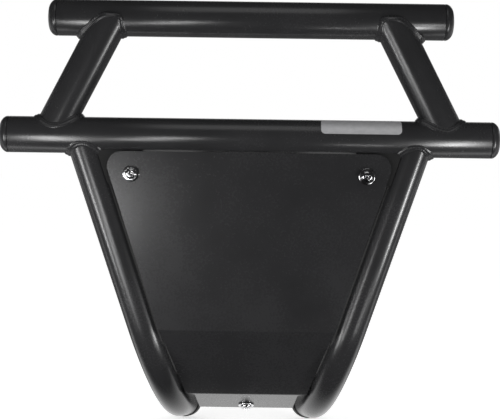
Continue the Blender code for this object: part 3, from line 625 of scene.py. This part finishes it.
# %% Sizes of the plate
PLATE_FRONT_Y = 1.5 * MM - DOWN_R
PLATE_BACK_Y = PLATE_FRONT_Y + PLATE_THICKNESS
PLATE_TOP_GAP, PLATE_DRAW_IN = 1.5 * MM, 3 * MM
PLATE_TOP_Z = -math.sqrt((BAR_R + FIT_GAP) ** 2 - PLATE_BACK_Y ** 2) - PLATE_TOP_GAP
PLATE_LAP, PLATE_CORNER, PLATE_EDGE = 1.3 * MM, 18 * MM, 1.2 * MM
FACE_LENGTH, SHIN_LENGTH, LIP_LENGTH = 218.5 * MM, 100 * MM, 64 * MM
SHIN_ANGLE, LIP_ANGLE = math.radians(30), math.radians(64)
SHIN_GAP, SHIN_DROP = 0.6 * MM, 15 * MM
LIP_CLEARANCE, LIP_TAPER, LIP_NOTCH = 8.5 * MM, 4.3 * MM, 8 * MM
FOLD_RADIUS = 4 * MM
SCREW_HOLE_R = 4.25 * MM
FACE_SCREW_DROP, FACE_SCREW_INSET, LIP_SCREW_INSET = 45.7 * MM, 30 * MM, 15.5 * MM
LIP_DOWN = np.array([0, math.sin(LIP_ANGLE), -math.cos(LIP_ANGLE)])
LIP_INNER = np.array([0, math.cos(LIP_ANGLE), math.sin(LIP_ANGLE)])
PLATE_TOP = np.array([0, PLATE_FRONT_Y, PLATE_TOP_Z])
FACE_FOLD = PLATE_TOP - FACE_LENGTH * UP
LIP_FOLD = FACE_FOLD + SHIN_LENGTH * np.array([0, math.sin(SHIN_ANGLE), -math.cos(SHIN_ANGLE)])
LIP_EDGE = LIP_FOLD + LIP_LENGTH * LIP_DOWN

# %% Sheets from flat blanks
CUT_TOLERANCE = 1e-7
CRISP_ANGLE = math.radians(50)


def cut_blank(name, outline, holes, lines):
    """Flat blank (x, run): its outline and round holes filled, then cut along the fold lines."""
    work = bmesh.new()
    for loop in [outline, *holes]:
        corners = [work.verts.new((x, run, 0)) for x, run in loop]
        for corner, neighbour in zip(corners, corners[1:] + corners[:1]):
            work.edges.new((corner, neighbour))
    bmesh.ops.triangle_fill(work, use_beauty=True, use_dissolve=False, edges=work.edges)
    for run in lines:
        everything = work.verts[:] + work.edges[:] + work.faces[:]
        bmesh.ops.bisect_plane(work, geom=everything, plane_co=(0, run, 0), plane_no=(0, 1, 0),
                               dist=CUT_TOLERANCE)
    mesh = bpy.data.meshes.new(name)
    work.to_mesh(mesh)
    work.free()
    return mesh


def set_up(mesh, columns, inner):
    """Move each point (u, v) of a flat blank to a place: columns gives x, y and z from u and v.
    The drawn face is turned away from the sheet's inner side."""
    flat = np.empty(len(mesh.vertices) * 3)
    mesh.vertices.foreach_get("co", flat)
    first, second, _ = flat.reshape(-1, 3).T
    places = np.column_stack([np.broadcast_to(part, first.shape)
                              for part in columns(first, second)])
    mesh.vertices.foreach_set("co", (places + AXIS).ravel())
    mesh.update()
    if mesh.polygons[0].normal @ Vector(inner) > 0:
        mesh.flip_normals()
    return mesh


def deburr(item, edge):
    """Bevel the edges at which a piece turns by more than the crisp angle."""
    rim = item.modifiers.new("edge", "BEVEL")
    rim.width, rim.segments, rim.limit_method, rim.angle_limit = edge, 3, "ANGLE", CRISP_ANGLE
    rim.harden_normals = True


def sheet(name, mesh, thickness, edge, material, nodes):
    """Give a blank in place its thickness behind the drawn face, and round its edges."""
    item = piece(name, mesh, material, nodes, sharp=180)
    wall = item.modifiers.new("thickness", "SOLIDIFY")
    wall.thickness, wall.offset, wall.use_even_offset = thickness, -1, True
    deburr(item, edge)


def circle(x, run, radius, sides=40):
    """Round hole in a blank."""
    return arc((x, run), radius, 0, 360 * (1 - 1 / sides), sides - 1)


# %% The plate's folded line and outline
def folded_line(corners, radius, steps=8):
    """Side view of a folded sheet: the corners' chain with an arc of the fold radius at each
    fold. The arc's middle is the corner moved by radius / cos(half the turn)."""
    line = [corners[0]]
    for before, corner, after in zip(corners, corners[1:], corners[2:]):
        arriving, leaving = unit(corner - before), unit(after - corner)
        half = math.acos(np.clip(arriving @ leaving, -1, 1)) / 2
        centre = corner + unit(leaving - arriving) * radius / math.cos(half)
        first = corner - radius * math.tan(half) * arriving - centre
        side = unit(np.cross(np.cross(first, arriving), first))
        for turn in np.linspace(0, 2 * half, steps + 1):
            line.append(centre + math.cos(turn) * first + math.sin(turn) * radius * side)
    return np.array(line + [corners[-1]])


def down_x(coordinate, value):
    """Distance of the right down tube's axis from the middle, where its y (1) or z (2) has a
    value."""
    points = np.vstack([down_line(1)[0], down_axis(1)[0]])
    order = np.argsort(points[:, coordinate], kind="stable")
    return float(np.interp(value, points[order, coordinate], points[order, 0]))


def plate_outline():
    """Right half of the plate's outline in front view (x, z)."""
    reach = 1 / math.cos(DOWN_LEAN)
    face_inset, shin_inset = (DOWN_R - PLATE_LAP) * reach, (DOWN_R + SHIN_GAP) * reach
    corner_x = down_x(2, PLATE_TOP[2]) - face_inset - PLATE_DRAW_IN
    fold_x = down_x(2, FACE_FOLD[2]) - face_inset
    lean = math.atan2(corner_x - fold_x, FACE_LENGTH)
    edge_x = corner_x - PLATE_CORNER * (math.tan(lean) + 1 / math.cos(lean))
    half = arc((edge_x, PLATE_TOP[2] - PLATE_CORNER), PLATE_CORNER, 90, -math.degrees(lean), 16)
    half.append((fold_x, FACE_FOLD[2]))
    half += [(down_x(2, z) - shin_inset, z) for z in (FACE_FOLD[2] - SHIN_DROP, LIP_FOLD[2])]
    edge_half = down_x(1, LIP_EDGE[1]) - DOWN_R - LIP_CLEARANCE
    depth = LIP_NOTCH * math.cos(LIP_ANGLE)
    half += [(edge_half + LIP_TAPER + LIP_NOTCH * (1 + x), LIP_FOLD[2] - depth * (1 - z))
             for x, z in arc((0, 0), 1, 90, 180, 8)]
    half.append((edge_half, LIP_EDGE[2]))
    return half


# %% The plate, cut and folded
plate_line = folded_line([PLATE_TOP, FACE_FOLD, LIP_FOLD, LIP_EDGE], FOLD_RADIUS)
plate_run = run_along(plate_line)
half = [(x, float(np.interp(-z, -plate_line[:, 2], plate_run))) for x, z in plate_outline()]
blank = half + [(-x, run) for x, run in reversed(half)]
FACE_SCREW_X = (down_x(2, -FACE_SCREW_DROP) - (DOWN_R - PLATE_LAP) / math.cos(DOWN_LEAN)
                - FACE_SCREW_INSET)
holes = [circle(x, PLATE_TOP[2] + FACE_SCREW_DROP, SCREW_HOLE_R)
         for x in (-FACE_SCREW_X, FACE_SCREW_X)]
holes.append(circle(0, plate_run[-1] - LIP_SCREW_INSET, SCREW_HOLE_R))
plate = set_up(cut_blank("plate", blank, holes, plate_run[1:-1]),
               lambda x, run: (x, np.interp(run, plate_run, plate_line[:, 1]),
                               np.interp(run, plate_run, plate_line[:, 2])), BACK)
sheet("skid_plate_sheet", plate, PLATE_THICKNESS, PLATE_EDGE, plate_coat,
      ["skid_plate"])
print("blank:", round(plate_run[-1] / MM, 1), "mm long,",
      round(2 * max(x for x, _ in half) / MM, 1), "mm wide,", len(plate.polygons), "faces")

# %% [markdown]
# ## Tabs and lower bracket
# Two tabs on the down tubes take the plate's upper screws, and run up to the lower bar as
# gussets. The lower bracket is a folded angle welded between the tails, and two more tabs behind
# the lower bar take the upper frame bolts.

# %% Plate tabs
TAB_THICKNESS, TAB_HEIGHT, TAB_EDGE = 4 * MM, 24 * MM, 0.6 * MM
tab_front = PLATE_BACK_Y + FIT_GAP
rise = FACE_SCREW_DROP - math.sqrt(BAR_R ** 2 - tab_front ** 2)
chord = math.sqrt(DOWN_R ** 2 - (tab_front + TAB_THICKNESS / 2) ** 2) / math.cos(DOWN_LEAN)
tab_outline = [(-TAB_HEIGHT / 2, rise)] + arc((0, 0), TAB_HEIGHT / 2, 180, 270, 8)
tab_outline += [(down_x(2, -FACE_SCREW_DROP + z) - FACE_SCREW_X - chord, z)
                for z in (-TAB_HEIGHT / 2, rise)]
for word, side in SIDES:
    mesh = set_up(cut_blank("tab", tab_outline, [circle(0, 0, SCREW_HOLE_R)], []),
                  lambda u, v: (side * (u + FACE_SCREW_X), tab_front, v - FACE_SCREW_DROP), BACK)
    # The tabs wear the painted-shade coat.
    sheet(f"{word}_plate_tab_sheet", mesh, TAB_THICKNESS, TAB_EDGE, tab_painted_shade_coat,
          [f"{word}_plate_tab"])
print("plate tabs:", round((rise + TAB_HEIGHT / 2) / MM, 1), "mm high")

# %% Frame tabs
FRAME_TAB_SPAN, FRAME_TAB_THICKNESS, FRAME_TAB_HEIGHT = 180 * MM, 5 * MM, 36 * MM
FRAME_TAB_REACH, FRAME_TAB_EDGE, MOUNT_HOLE_R = 62 * MM, 0.8 * MM, 5.25 * MM
half = FRAME_TAB_HEIGHT / 2
tip = BAR_R + FRAME_TAB_REACH - half
seat = math.degrees(math.asin(half / BAR_R))
outline = arc((0, 0), BAR_R, seat, -seat, 12) + arc((tip, 0), half, -90, 90, 24)
for word, side in SIDES:
    face = side * (FRAME_TAB_SPAN + FRAME_TAB_THICKNESS) / 2
    mesh = set_up(cut_blank("tab", outline, [circle(tip, 0, MOUNT_HOLE_R)], []),
                  lambda u, v: (face, u, v), -side * ACROSS)
    sheet(f"{word}_frame_tab_sheet", mesh, FRAME_TAB_THICKNESS, FRAME_TAB_EDGE, frame_coat,
          [f"{word}_frame_tab"])
print("frame tabs' holes:", round(tip / MM, 1), "mm behind the bar's axis")

# %% Lower bracket
BRACKET_THICKNESS, BRACKET_EDGE = 4 * MM, 0.8 * MM
JOIN_DISTANCE, FLAT_ANGLE = 1e-6, math.radians(2)


def merged(node):
    """The solid's own mesh with its loose triangles joined and its flats made whole."""
    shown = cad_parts[node]
    work = bmesh.new()
    work.from_mesh(shown.data)
    work.transform(shown.matrix_world)
    bmesh.ops.remove_doubles(work, verts=work.verts, dist=JOIN_DISTANCE)
    bmesh.ops.dissolve_limit(work, angle_limit=FLAT_ANGLE, verts=work.verts, edges=work.edges)
    mesh = bpy.data.meshes.new(node)
    work.to_mesh(mesh)
    work.free()
    return mesh


bracket = piece("lower_bracket_sheet", merged("lower_bracket"), frame_coat,
                ["lower_bracket"])
deburr(bracket, BRACKET_EDGE)
print("bracket:", len(bracket.data.polygons), "faces")

# %% [markdown]
# ## Screws, washers and nuts
# Chromed button-head screws with a hexagon socket hold the plate. A hexagon's wall lies at
# r = w / 2 / cos(a) from its middle, with a measured from the nearest flat.

# %% Sizes of the fasteners
HEAD_R, HEAD_HEIGHT, HEAD_EDGE, HEAD_RIM = 7 * MM, 4.4 * MM, 0.6 * MM, 0.25 * MM
SOCKET, SOCKET_DEPTH, SOCKET_POINT = 5 * MM, 2.8 * MM, 0.9 * MM
SHANK_R, PLAIN_SHANK, POINT_CHAMFER = 4 * MM, 6 * MM, 0.9 * MM
THREAD_START, THREAD_RUN_OUT, THREAD_ROWS = 6.2 * MM, 0.8 * MM, 10
THREAD_PITCH, THREAD_DEPTH = 1.25 * MM, 0.6 * MM
WASHER_R, WASHER_THICKNESS, WASHER_EDGE = 10 * MM, 1.8 * MM, 0.3 * MM
NUT_WIDTH, NUT_HEIGHT, COLLAR_HEIGHT, COLLAR_EDGE = 13 * MM, 6 * MM, 2 * MM, 0.6 * MM
NUT_CHAMFER, NUT_FACE = 0.9 * MM, 0.25 * MM
OVERHANG = 2 * MM


# %% Drawing the fasteners
def hexagon(width):
    """Radius of a hexagon of a width across flats, at each angle round it."""
    angle = around(TURN_SIDES)
    return width / 2 / np.cos((angle + math.pi / 6) % (math.pi / 3) - math.pi / 6)


def button_screw(length):
    """Screw seated at z = 0: socket floor, hexagon wall, domed head, shank and a helical thread,
    whose radius falls and rises with the turn a / 2 pi plus z / pitch."""
    wall, bottom = hexagon(SOCKET), HEAD_HEIGHT - SOCKET_DEPTH
    rows = [(0, bottom - SOCKET_POINT), (wall * 0.97, bottom), (wall, bottom + 0.1 * MM),
            (wall, HEAD_HEIGHT - 0.35 * MM), (wall * 1.06, HEAD_HEIGHT - 0.08 * MM),
            (wall * 1.12, HEAD_HEIGHT)]
    crown = SOCKET / math.sqrt(3) + HEAD_EDGE
    rows += [(crown + (HEAD_R - crown) * math.sin(a),
              HEAD_EDGE + (HEAD_HEIGHT - HEAD_EDGE) * math.cos(a))
             for a in np.linspace(0, math.pi / 2, 14)]
    rows += [(HEAD_R, HEAD_RIM), (HEAD_R - HEAD_RIM, 0), (SHANK_R, 0), (SHANK_R, -PLAIN_SHANK)]
    share = np.arange(TURN_SIDES) / TURN_SIDES
    for level in np.arange(-THREAD_START, THREAD_RUN_OUT - length, -THREAD_PITCH / THREAD_ROWS):
        turn = (share + level / THREAD_PITCH) % 1
        rows.append((SHANK_R - THREAD_DEPTH * (1 - np.abs(2 * turn - 1)), level))
    rows += [(SHANK_R - POINT_CHAMFER, -length), (0, -length)]
    return turned(rows)


def washer():
    """Flat ring with rounded edges, from z = 0 up."""
    edge, bore, top = WASHER_EDGE, SCREW_HOLE_R, WASHER_THICKNESS
    return turned([(bore + edge, 0), (WASHER_R - edge, 0), (WASHER_R, edge),
                   (WASHER_R, top - edge), (WASHER_R - edge, top), (bore + edge, top),
                   (bore, top - edge), (bore, edge)])


def lock_nut():
    """Hexagon nut below z = 0, its corners chamfered by a cone, with a round collar and its
    bore."""
    flats, bore = hexagon(NUT_WIDTH), SCREW_HOLE_R
    chamfer = NUT_WIDTH / 2 + NUT_FACE
    collar = NUT_WIDTH / 2 - COLLAR_EDGE
    low, end = -NUT_HEIGHT, -NUT_HEIGHT - COLLAR_HEIGHT
    cone = np.minimum(flats, chamfer + NUT_CHAMFER)
    return turned([(bore, 0), (chamfer - 0.5 * MM, 0), (np.minimum(flats, chamfer), 0),
                   (cone, -0.5 * MM), (flats, -NUT_CHAMFER), (flats, low + NUT_CHAMFER),
                   (cone, low + 0.5 * MM), (np.minimum(flats, chamfer), low), (collar, low),
                   (collar, end + COLLAR_EDGE), (collar - COLLAR_EDGE, end), (bore, end)])


# %% Fasteners in place
stack = PLATE_THICKNESS + FIT_GAP + TAB_THICKNESS
lip_stack = PLATE_THICKNESS + FIT_GAP + BRACKET_THICKNESS
head_seat = 2 * FIT_GAP + WASHER_THICKNESS
seats = (("left", np.array([-FACE_SCREW_X, PLATE_FRONT_Y, -FACE_SCREW_DROP]), -BACK, stack),
         ("right", np.array([FACE_SCREW_X, PLATE_FRONT_Y, -FACE_SCREW_DROP]), -BACK, stack),
         ("lip", LIP_EDGE - LIP_SCREW_INSET * LIP_DOWN, -LIP_INNER, lip_stack))
for word, seat, out, thickness in seats:
    nut_seat = -thickness - FIT_GAP
    length = head_seat - nut_seat + NUT_HEIGHT + COLLAR_HEIGHT + OVERHANG
    screw = skin("screw", stood(button_screw(length), seat + head_seat * out, out))
    piece(f"{word}_button_screw", screw, chrome_steel, [f"{word}_screw"],
          sharp=35)
    ring = skin("washer", stood(washer(), seat + FIT_GAP * out, out), loop=True)
    piece(f"{word}_flat_washer", ring, chrome_steel, [f"{word}_washer"],
          sharp=50)
    nut = skin("nut", stood(lock_nut(), seat + nut_seat * out, out), loop=True)
    piece(f"{word}_nut", nut, zinc_steel, [f"{word}_lock_nut"], sharp=25)
    print(word, "screw:", round(length / MM, 1), "mm under the head")

# %% [markdown]
# ## End caps
# The crossbars end in turned alloy caps, black anodised, with a groove round the face. A profile
# turned about the bar's axis makes one. The tails end in soft vinyl cups.

# %% Turned end caps
CAP_RIM, CAP_TAPER, CAP_FACE_R, CAP_DOME, SPIGOT = 2 * MM, 8.2 * MM, 12.5 * MM, 1.3 * MM, 18 * MM
CAP_CHAMFER, SPIGOT_CHAMFER, GROOVE_WIDTH, GROOVE_DEPTH = 0.5 * MM, 1 * MM, 1.6 * MM, 0.5 * MM
SIDE_POWER, END_POWER = 1.2, 1.25


def end_cap():
    """Cap seated at z = 0: spigot, shoulder, rim, taper, groove and domed face. The taper's
    radius falls with the cosine and its height rises with the sine, each to a power."""
    spigot_r = BAR_R - BAR_WALL - FIT_GAP
    height = CAP_RIM + CAP_TAPER
    rows = [(0, -SPIGOT), (spigot_r - SPIGOT_CHAMFER, -SPIGOT),
            (spigot_r, SPIGOT_CHAMFER - SPIGOT), (spigot_r, 0), (BAR_R - CAP_CHAMFER, 0),
            (BAR_R, 0.4 * MM), (BAR_R, CAP_RIM)]
    rows += [(CAP_FACE_R + (BAR_R - CAP_FACE_R) * math.cos(turn) ** SIDE_POWER,
              CAP_RIM + CAP_TAPER * math.sin(turn) ** END_POWER)
             for turn in np.linspace(0, math.pi / 2, 16)[1:]]
    rows += [(CAP_FACE_R - GROOVE_WIDTH / 2, height - GROOVE_DEPTH),
             (CAP_FACE_R - GROOVE_WIDTH, height + 0.1 * MM)]
    rows += [(radius, height + CAP_DOME * (1 - (radius / CAP_FACE_R) ** 2))
             for radius in np.linspace(CAP_FACE_R - 2.2 * MM, 0, 12)]
    return turned(rows)


for level, length, axis in BARS:
    for word, side in SIDES:
        out = side * ACROSS
        grid = stood(end_cap(), axis + out * (length / 2 + FIT_GAP), out)
        piece(f"{level}_{word}_turned_cap", skin("cap", grid), cap_alloy,
              [f"{level}_{word}_end_cap"], sharp=35)
    print(level, "bar with its caps:", round((length + 2 * (FIT_GAP + CAP_RIM + CAP_TAPER
                                                            + CAP_DOME)) / MM, 1), "mm")

# %% Soft caps on the tails
CUP_FIT, CUP_WALL, CUP_DEPTH, CUP_FLOOR = 0.1 * MM, 1.7 * MM, 18 * MM, 1.5 * MM


def tail_cup():
    """Cup slipped over a tube's end at z = 0: floor, round corner, wall with a rounded lip,
    inside."""
    inner = DOWN_R + CUP_FIT
    outer = inner + CUP_WALL
    rows = [(0, CUP_FLOOR), (outer * 0.5, CUP_FLOOR)]
    rows += [(outer - CUP_FLOOR + CUP_FLOOR * math.sin(a), CUP_FLOOR * math.cos(a))
             for a in np.linspace(0, math.pi / 2, 8)]
    rows += [(outer, -CUP_DEPTH + 1.2 * MM), (outer - 0.4 * MM, 0.2 * MM - CUP_DEPTH),
             (inner + 0.5 * MM, -CUP_DEPTH), (inner, 0.5 * MM - CUP_DEPTH), (inner, 0), (0, 0)]
    return turned(rows)


for word, side in SIDES:
    centres, heading = down_axis(side)
    cup = stood(tail_cup(), centres[-1] + FIT_GAP * heading[-1], heading[-1])
    piece(f"{word}_tail_cup", skin("cup", cup), cap_vinyl, [f"{word}_tail_cap"],
          sharp=50)
print("tail cups:", round(2 * (DOWN_R + CUP_FIT + CUP_WALL) / MM, 1), "mm across")

# %% [markdown]
# ## Decal
# A bare silver film with rounded corners sits on the upper front of the lower bar. Half its
# height at a place along the bar is h / 2 - r plus the square root of r squared less the run into
# the corner squared.

# %% Silver film
FILM_LENGTH, FILM_HEIGHT, FILM_CORNER = 98 * MM, 23.5 * MM, 5 * MM
FILM_THICKNESS, FILM_LIFT = 0.2 * MM, 0.02 * MM
FILM_PLACE, FILM_ANGLE = 135.7 * MM, math.radians(135)
FILM_ROWS, FILM_COLUMNS = 56, 12


def film():
    """Rounded strip wrapped on the bar, outside and inside skins in one ring per row. Each end
    is closed by a pole in its middle."""
    half = FILM_LENGTH / 2
    run = half * np.sin(np.linspace(-math.pi / 2, math.pi / 2, FILM_ROWS))
    into = np.maximum(0, np.abs(run) - (half - FILM_CORNER))
    reach = FILM_HEIGHT / 2 - FILM_CORNER + np.sqrt(np.maximum(0, FILM_CORNER ** 2 - into ** 2))
    share = np.linspace(-1, 1, FILM_COLUMNS)
    angle = FILM_ANGLE + reach[:, None] * np.concatenate([share, share[::-1]]) / BAR_R
    radius = BAR_R + np.repeat([FILM_THICKNESS, FILM_LIFT], FILM_COLUMNS)
    grid = np.stack([np.repeat(FILM_PLACE + run[:, None], 2 * FILM_COLUMNS, axis=1),
                     radius * np.cos(angle), radius * np.sin(angle)], axis=-1)
    first, last = (np.repeat(row.mean(axis=0)[None, None], 2 * FILM_COLUMNS, axis=1)
                   for row in (grid[0], grid[-1]))
    return np.concatenate([first, grid, last])


piece("silver_film", skin("film", film()), silver_film, sharp=60)
print("film:", round(FILM_LENGTH / MM), "x", round(FILM_HEIGHT / MM, 1), "mm")

# %% [markdown]
# ## Floor and light
# The bumper stands on a plain floor, and floor and sky are white for the camera. A black coat
# shows little but reflections. So the floor is seen in it only as a white card under the bars
# that fades to the back, and the sky is dark in front and bright behind. The lamps are soft
# boxes: each one draws a line of light along a tube.


# %% Helpers for light
def ramp(tree, value, ends, levels):
    """Number that goes smoothly from one level to the other between two ends of a value."""
    return add(tree, "ShaderNodeMapRange", interpolation_type="SMOOTHSTEP", Value=value,
               From_Min=ends[0], From_Max=ends[1], To_Min=levels[0], To_Max=levels[1]).outputs[0]


def part_y(tree, kind):
    """Y of a texture coordinate."""
    place = tree.nodes.new("ShaderNodeTexCoord").outputs[kind]
    return add(tree, "ShaderNodeSeparateXYZ", Vector=place).outputs["Y"]


def ray_kinds(tree):
    """The kinds of ray, and a number that is 1 for rays that were mirrored or let through."""
    rays = tree.nodes.new("ShaderNodeLightPath").outputs
    return rays, math_node(tree, "MAXIMUM", rays["Is Glossy Ray"], rays["Is Transmission Ray"])


# %% Floor
FLOOR_GAP, FLOOR_RADIUS = 0.5 * MM, 9
FLOOR_GLOW, FLOOR_TONE = 0.6, 0.8
CARD_FRONT, CARD_BACK, CARD_REST = (-0.1, -0.02), (0.03, 0.1), 0.12
WHITE = (1, 1, 1, 1)
floor_z = cad_low.z - FLOOR_GAP
bpy.ops.mesh.primitive_circle_add(vertices=96, radius=FLOOR_RADIUS, fill_type="NGON",
                                  location=(0, 0, floor_z))
floor = bpy.context.object
floor.name = "studio_floor"
floor_paint = bpy.data.materials.new("studio_floor")
floor_paint.use_nodes = True
tree = floor_paint.node_tree
tree.nodes.clear()
rays, shiny = ray_kinds(tree)
depth = part_y(tree, "Object")
card = math_node(tree, "MULTIPLY", ramp(tree, depth, CARD_FRONT, (0.0, 1.0)),
                 ramp(tree, depth, CARD_BACK, (1.0, CARD_REST)))
seen = math_node(tree, "MULTIPLY", rays["Is Camera Ray"], FLOOR_GLOW)
mirrored = math_node(tree, "MULTIPLY", shiny, card)
glow = add(tree, "ShaderNodeEmission", Color=WHITE,
           Strength=math_node(tree, "MAXIMUM", seen, mirrored))
plain = math_node(tree, "ADD", math_node(tree, "SUBTRACT", 1.0, shiny), mirrored)
diffuse = add(tree, "ShaderNodeBsdfDiffuse", Color=math_node(tree, "MULTIPLY", plain, FLOOR_TONE))
both = tree.nodes.new("ShaderNodeAddShader")
tree.links.new(diffuse.outputs[0], both.inputs[0])
tree.links.new(glow.outputs[0], both.inputs[1])
add(tree, "ShaderNodeOutputMaterial", Surface=both.outputs[0])
floor.data.materials.append(floor_paint)
print("floor at z =", round(floor_z / MM, 1), "mm")

# %% Sky
SKY_FRONT, SKY_LIGHT, SKY_BACK = 0.02, 0.5, (0.8, 1.0)
world = bpy.data.worlds.new("studio")
scene.world = world
world.use_nodes = True
tree = world.node_tree
tree.nodes.clear()
rays, shiny = ray_kinds(tree)
behind = ramp(tree, part_y(tree, "Generated"), SKY_BACK, (SKY_FRONT, 1.0))
mirrored = math_node(tree, "MULTIPLY", shiny, behind)
matt = math_node(tree, "MULTIPLY", rays["Is Diffuse Ray"], SKY_LIGHT)
bright = math_node(tree, "MAXIMUM", rays["Is Camera Ray"], mirrored)
sky = add(tree, "ShaderNodeBackground", Color=WHITE,
          Strength=math_node(tree, "MAXIMUM", bright, matt))
add(tree, "ShaderNodeOutputWorld", Surface=sky.outputs[0])

# %% Lamps
LAMPS = (  # places and aims are measured from the lower bar's axis
    # name, place, aim, width, height, watts
    ("left_strip", (-0.65, -0.4, -0.22), (-0.1, 0, -0.15), 0.12, 0.26, 1.9),
    ("left_card_high", (-0.29, -0.6, -0.13), (-0.15, 0, -0.05), 0.16, 0.12, 0.65),
    ("left_card_low", (-0.42, -0.6, -0.275), (-0.15, 0, -0.05), 0.2, 0.15, 0.8),
    ("right_strip", (1.1, -0.75, -0.26), (0, 0, -0.14), 0.09, 0.22, 1.7),
    ("right_low", (0.63, -0.34, -0.25), (0.18, 0, -0.1), 0.05, 0.15, 1.6),
    ("right_floor", (0.36, -0.37, -0.345), (0.27, 0, 0), 0.16, 0.035, 0.2),
    ("top", (0, -0.6, 1.2), (0, 0, 0), 1.2, 0.7, 2.6),
    ("back_left", (-0.9, 0.5, 0), (0, 0, 0), 0.4, 0.6, 0.5),
    ("back_right", (0.9, 0.5, 0), (0, 0, 0), 0.4, 0.6, 0.5),
)


def softbox(name, place, aim, width, height, power):
    """Area lamp at a place, pointed at a target, both measured from the lower bar's axis."""
    lamp = bpy.data.lights.new(name, "AREA")
    lamp.shape, lamp.size, lamp.size_y, lamp.energy = "RECTANGLE", width, height, power
    item = bpy.data.objects.new(name, lamp)
    scene.collection.objects.link(item)
    item.location = Vector(place) + Vector(AXIS)
    item.rotation_euler = (Vector(aim) - Vector(place)).to_track_quat("-Z", "Y").to_euler()


for lamp_settings in LAMPS:
    softbox(*lamp_settings)
print("lamps:", len(LAMPS))

# %% Size of the CAD box
print("CAD box:", np.round(np.array(cad_high - cad_low) / MM, 1))
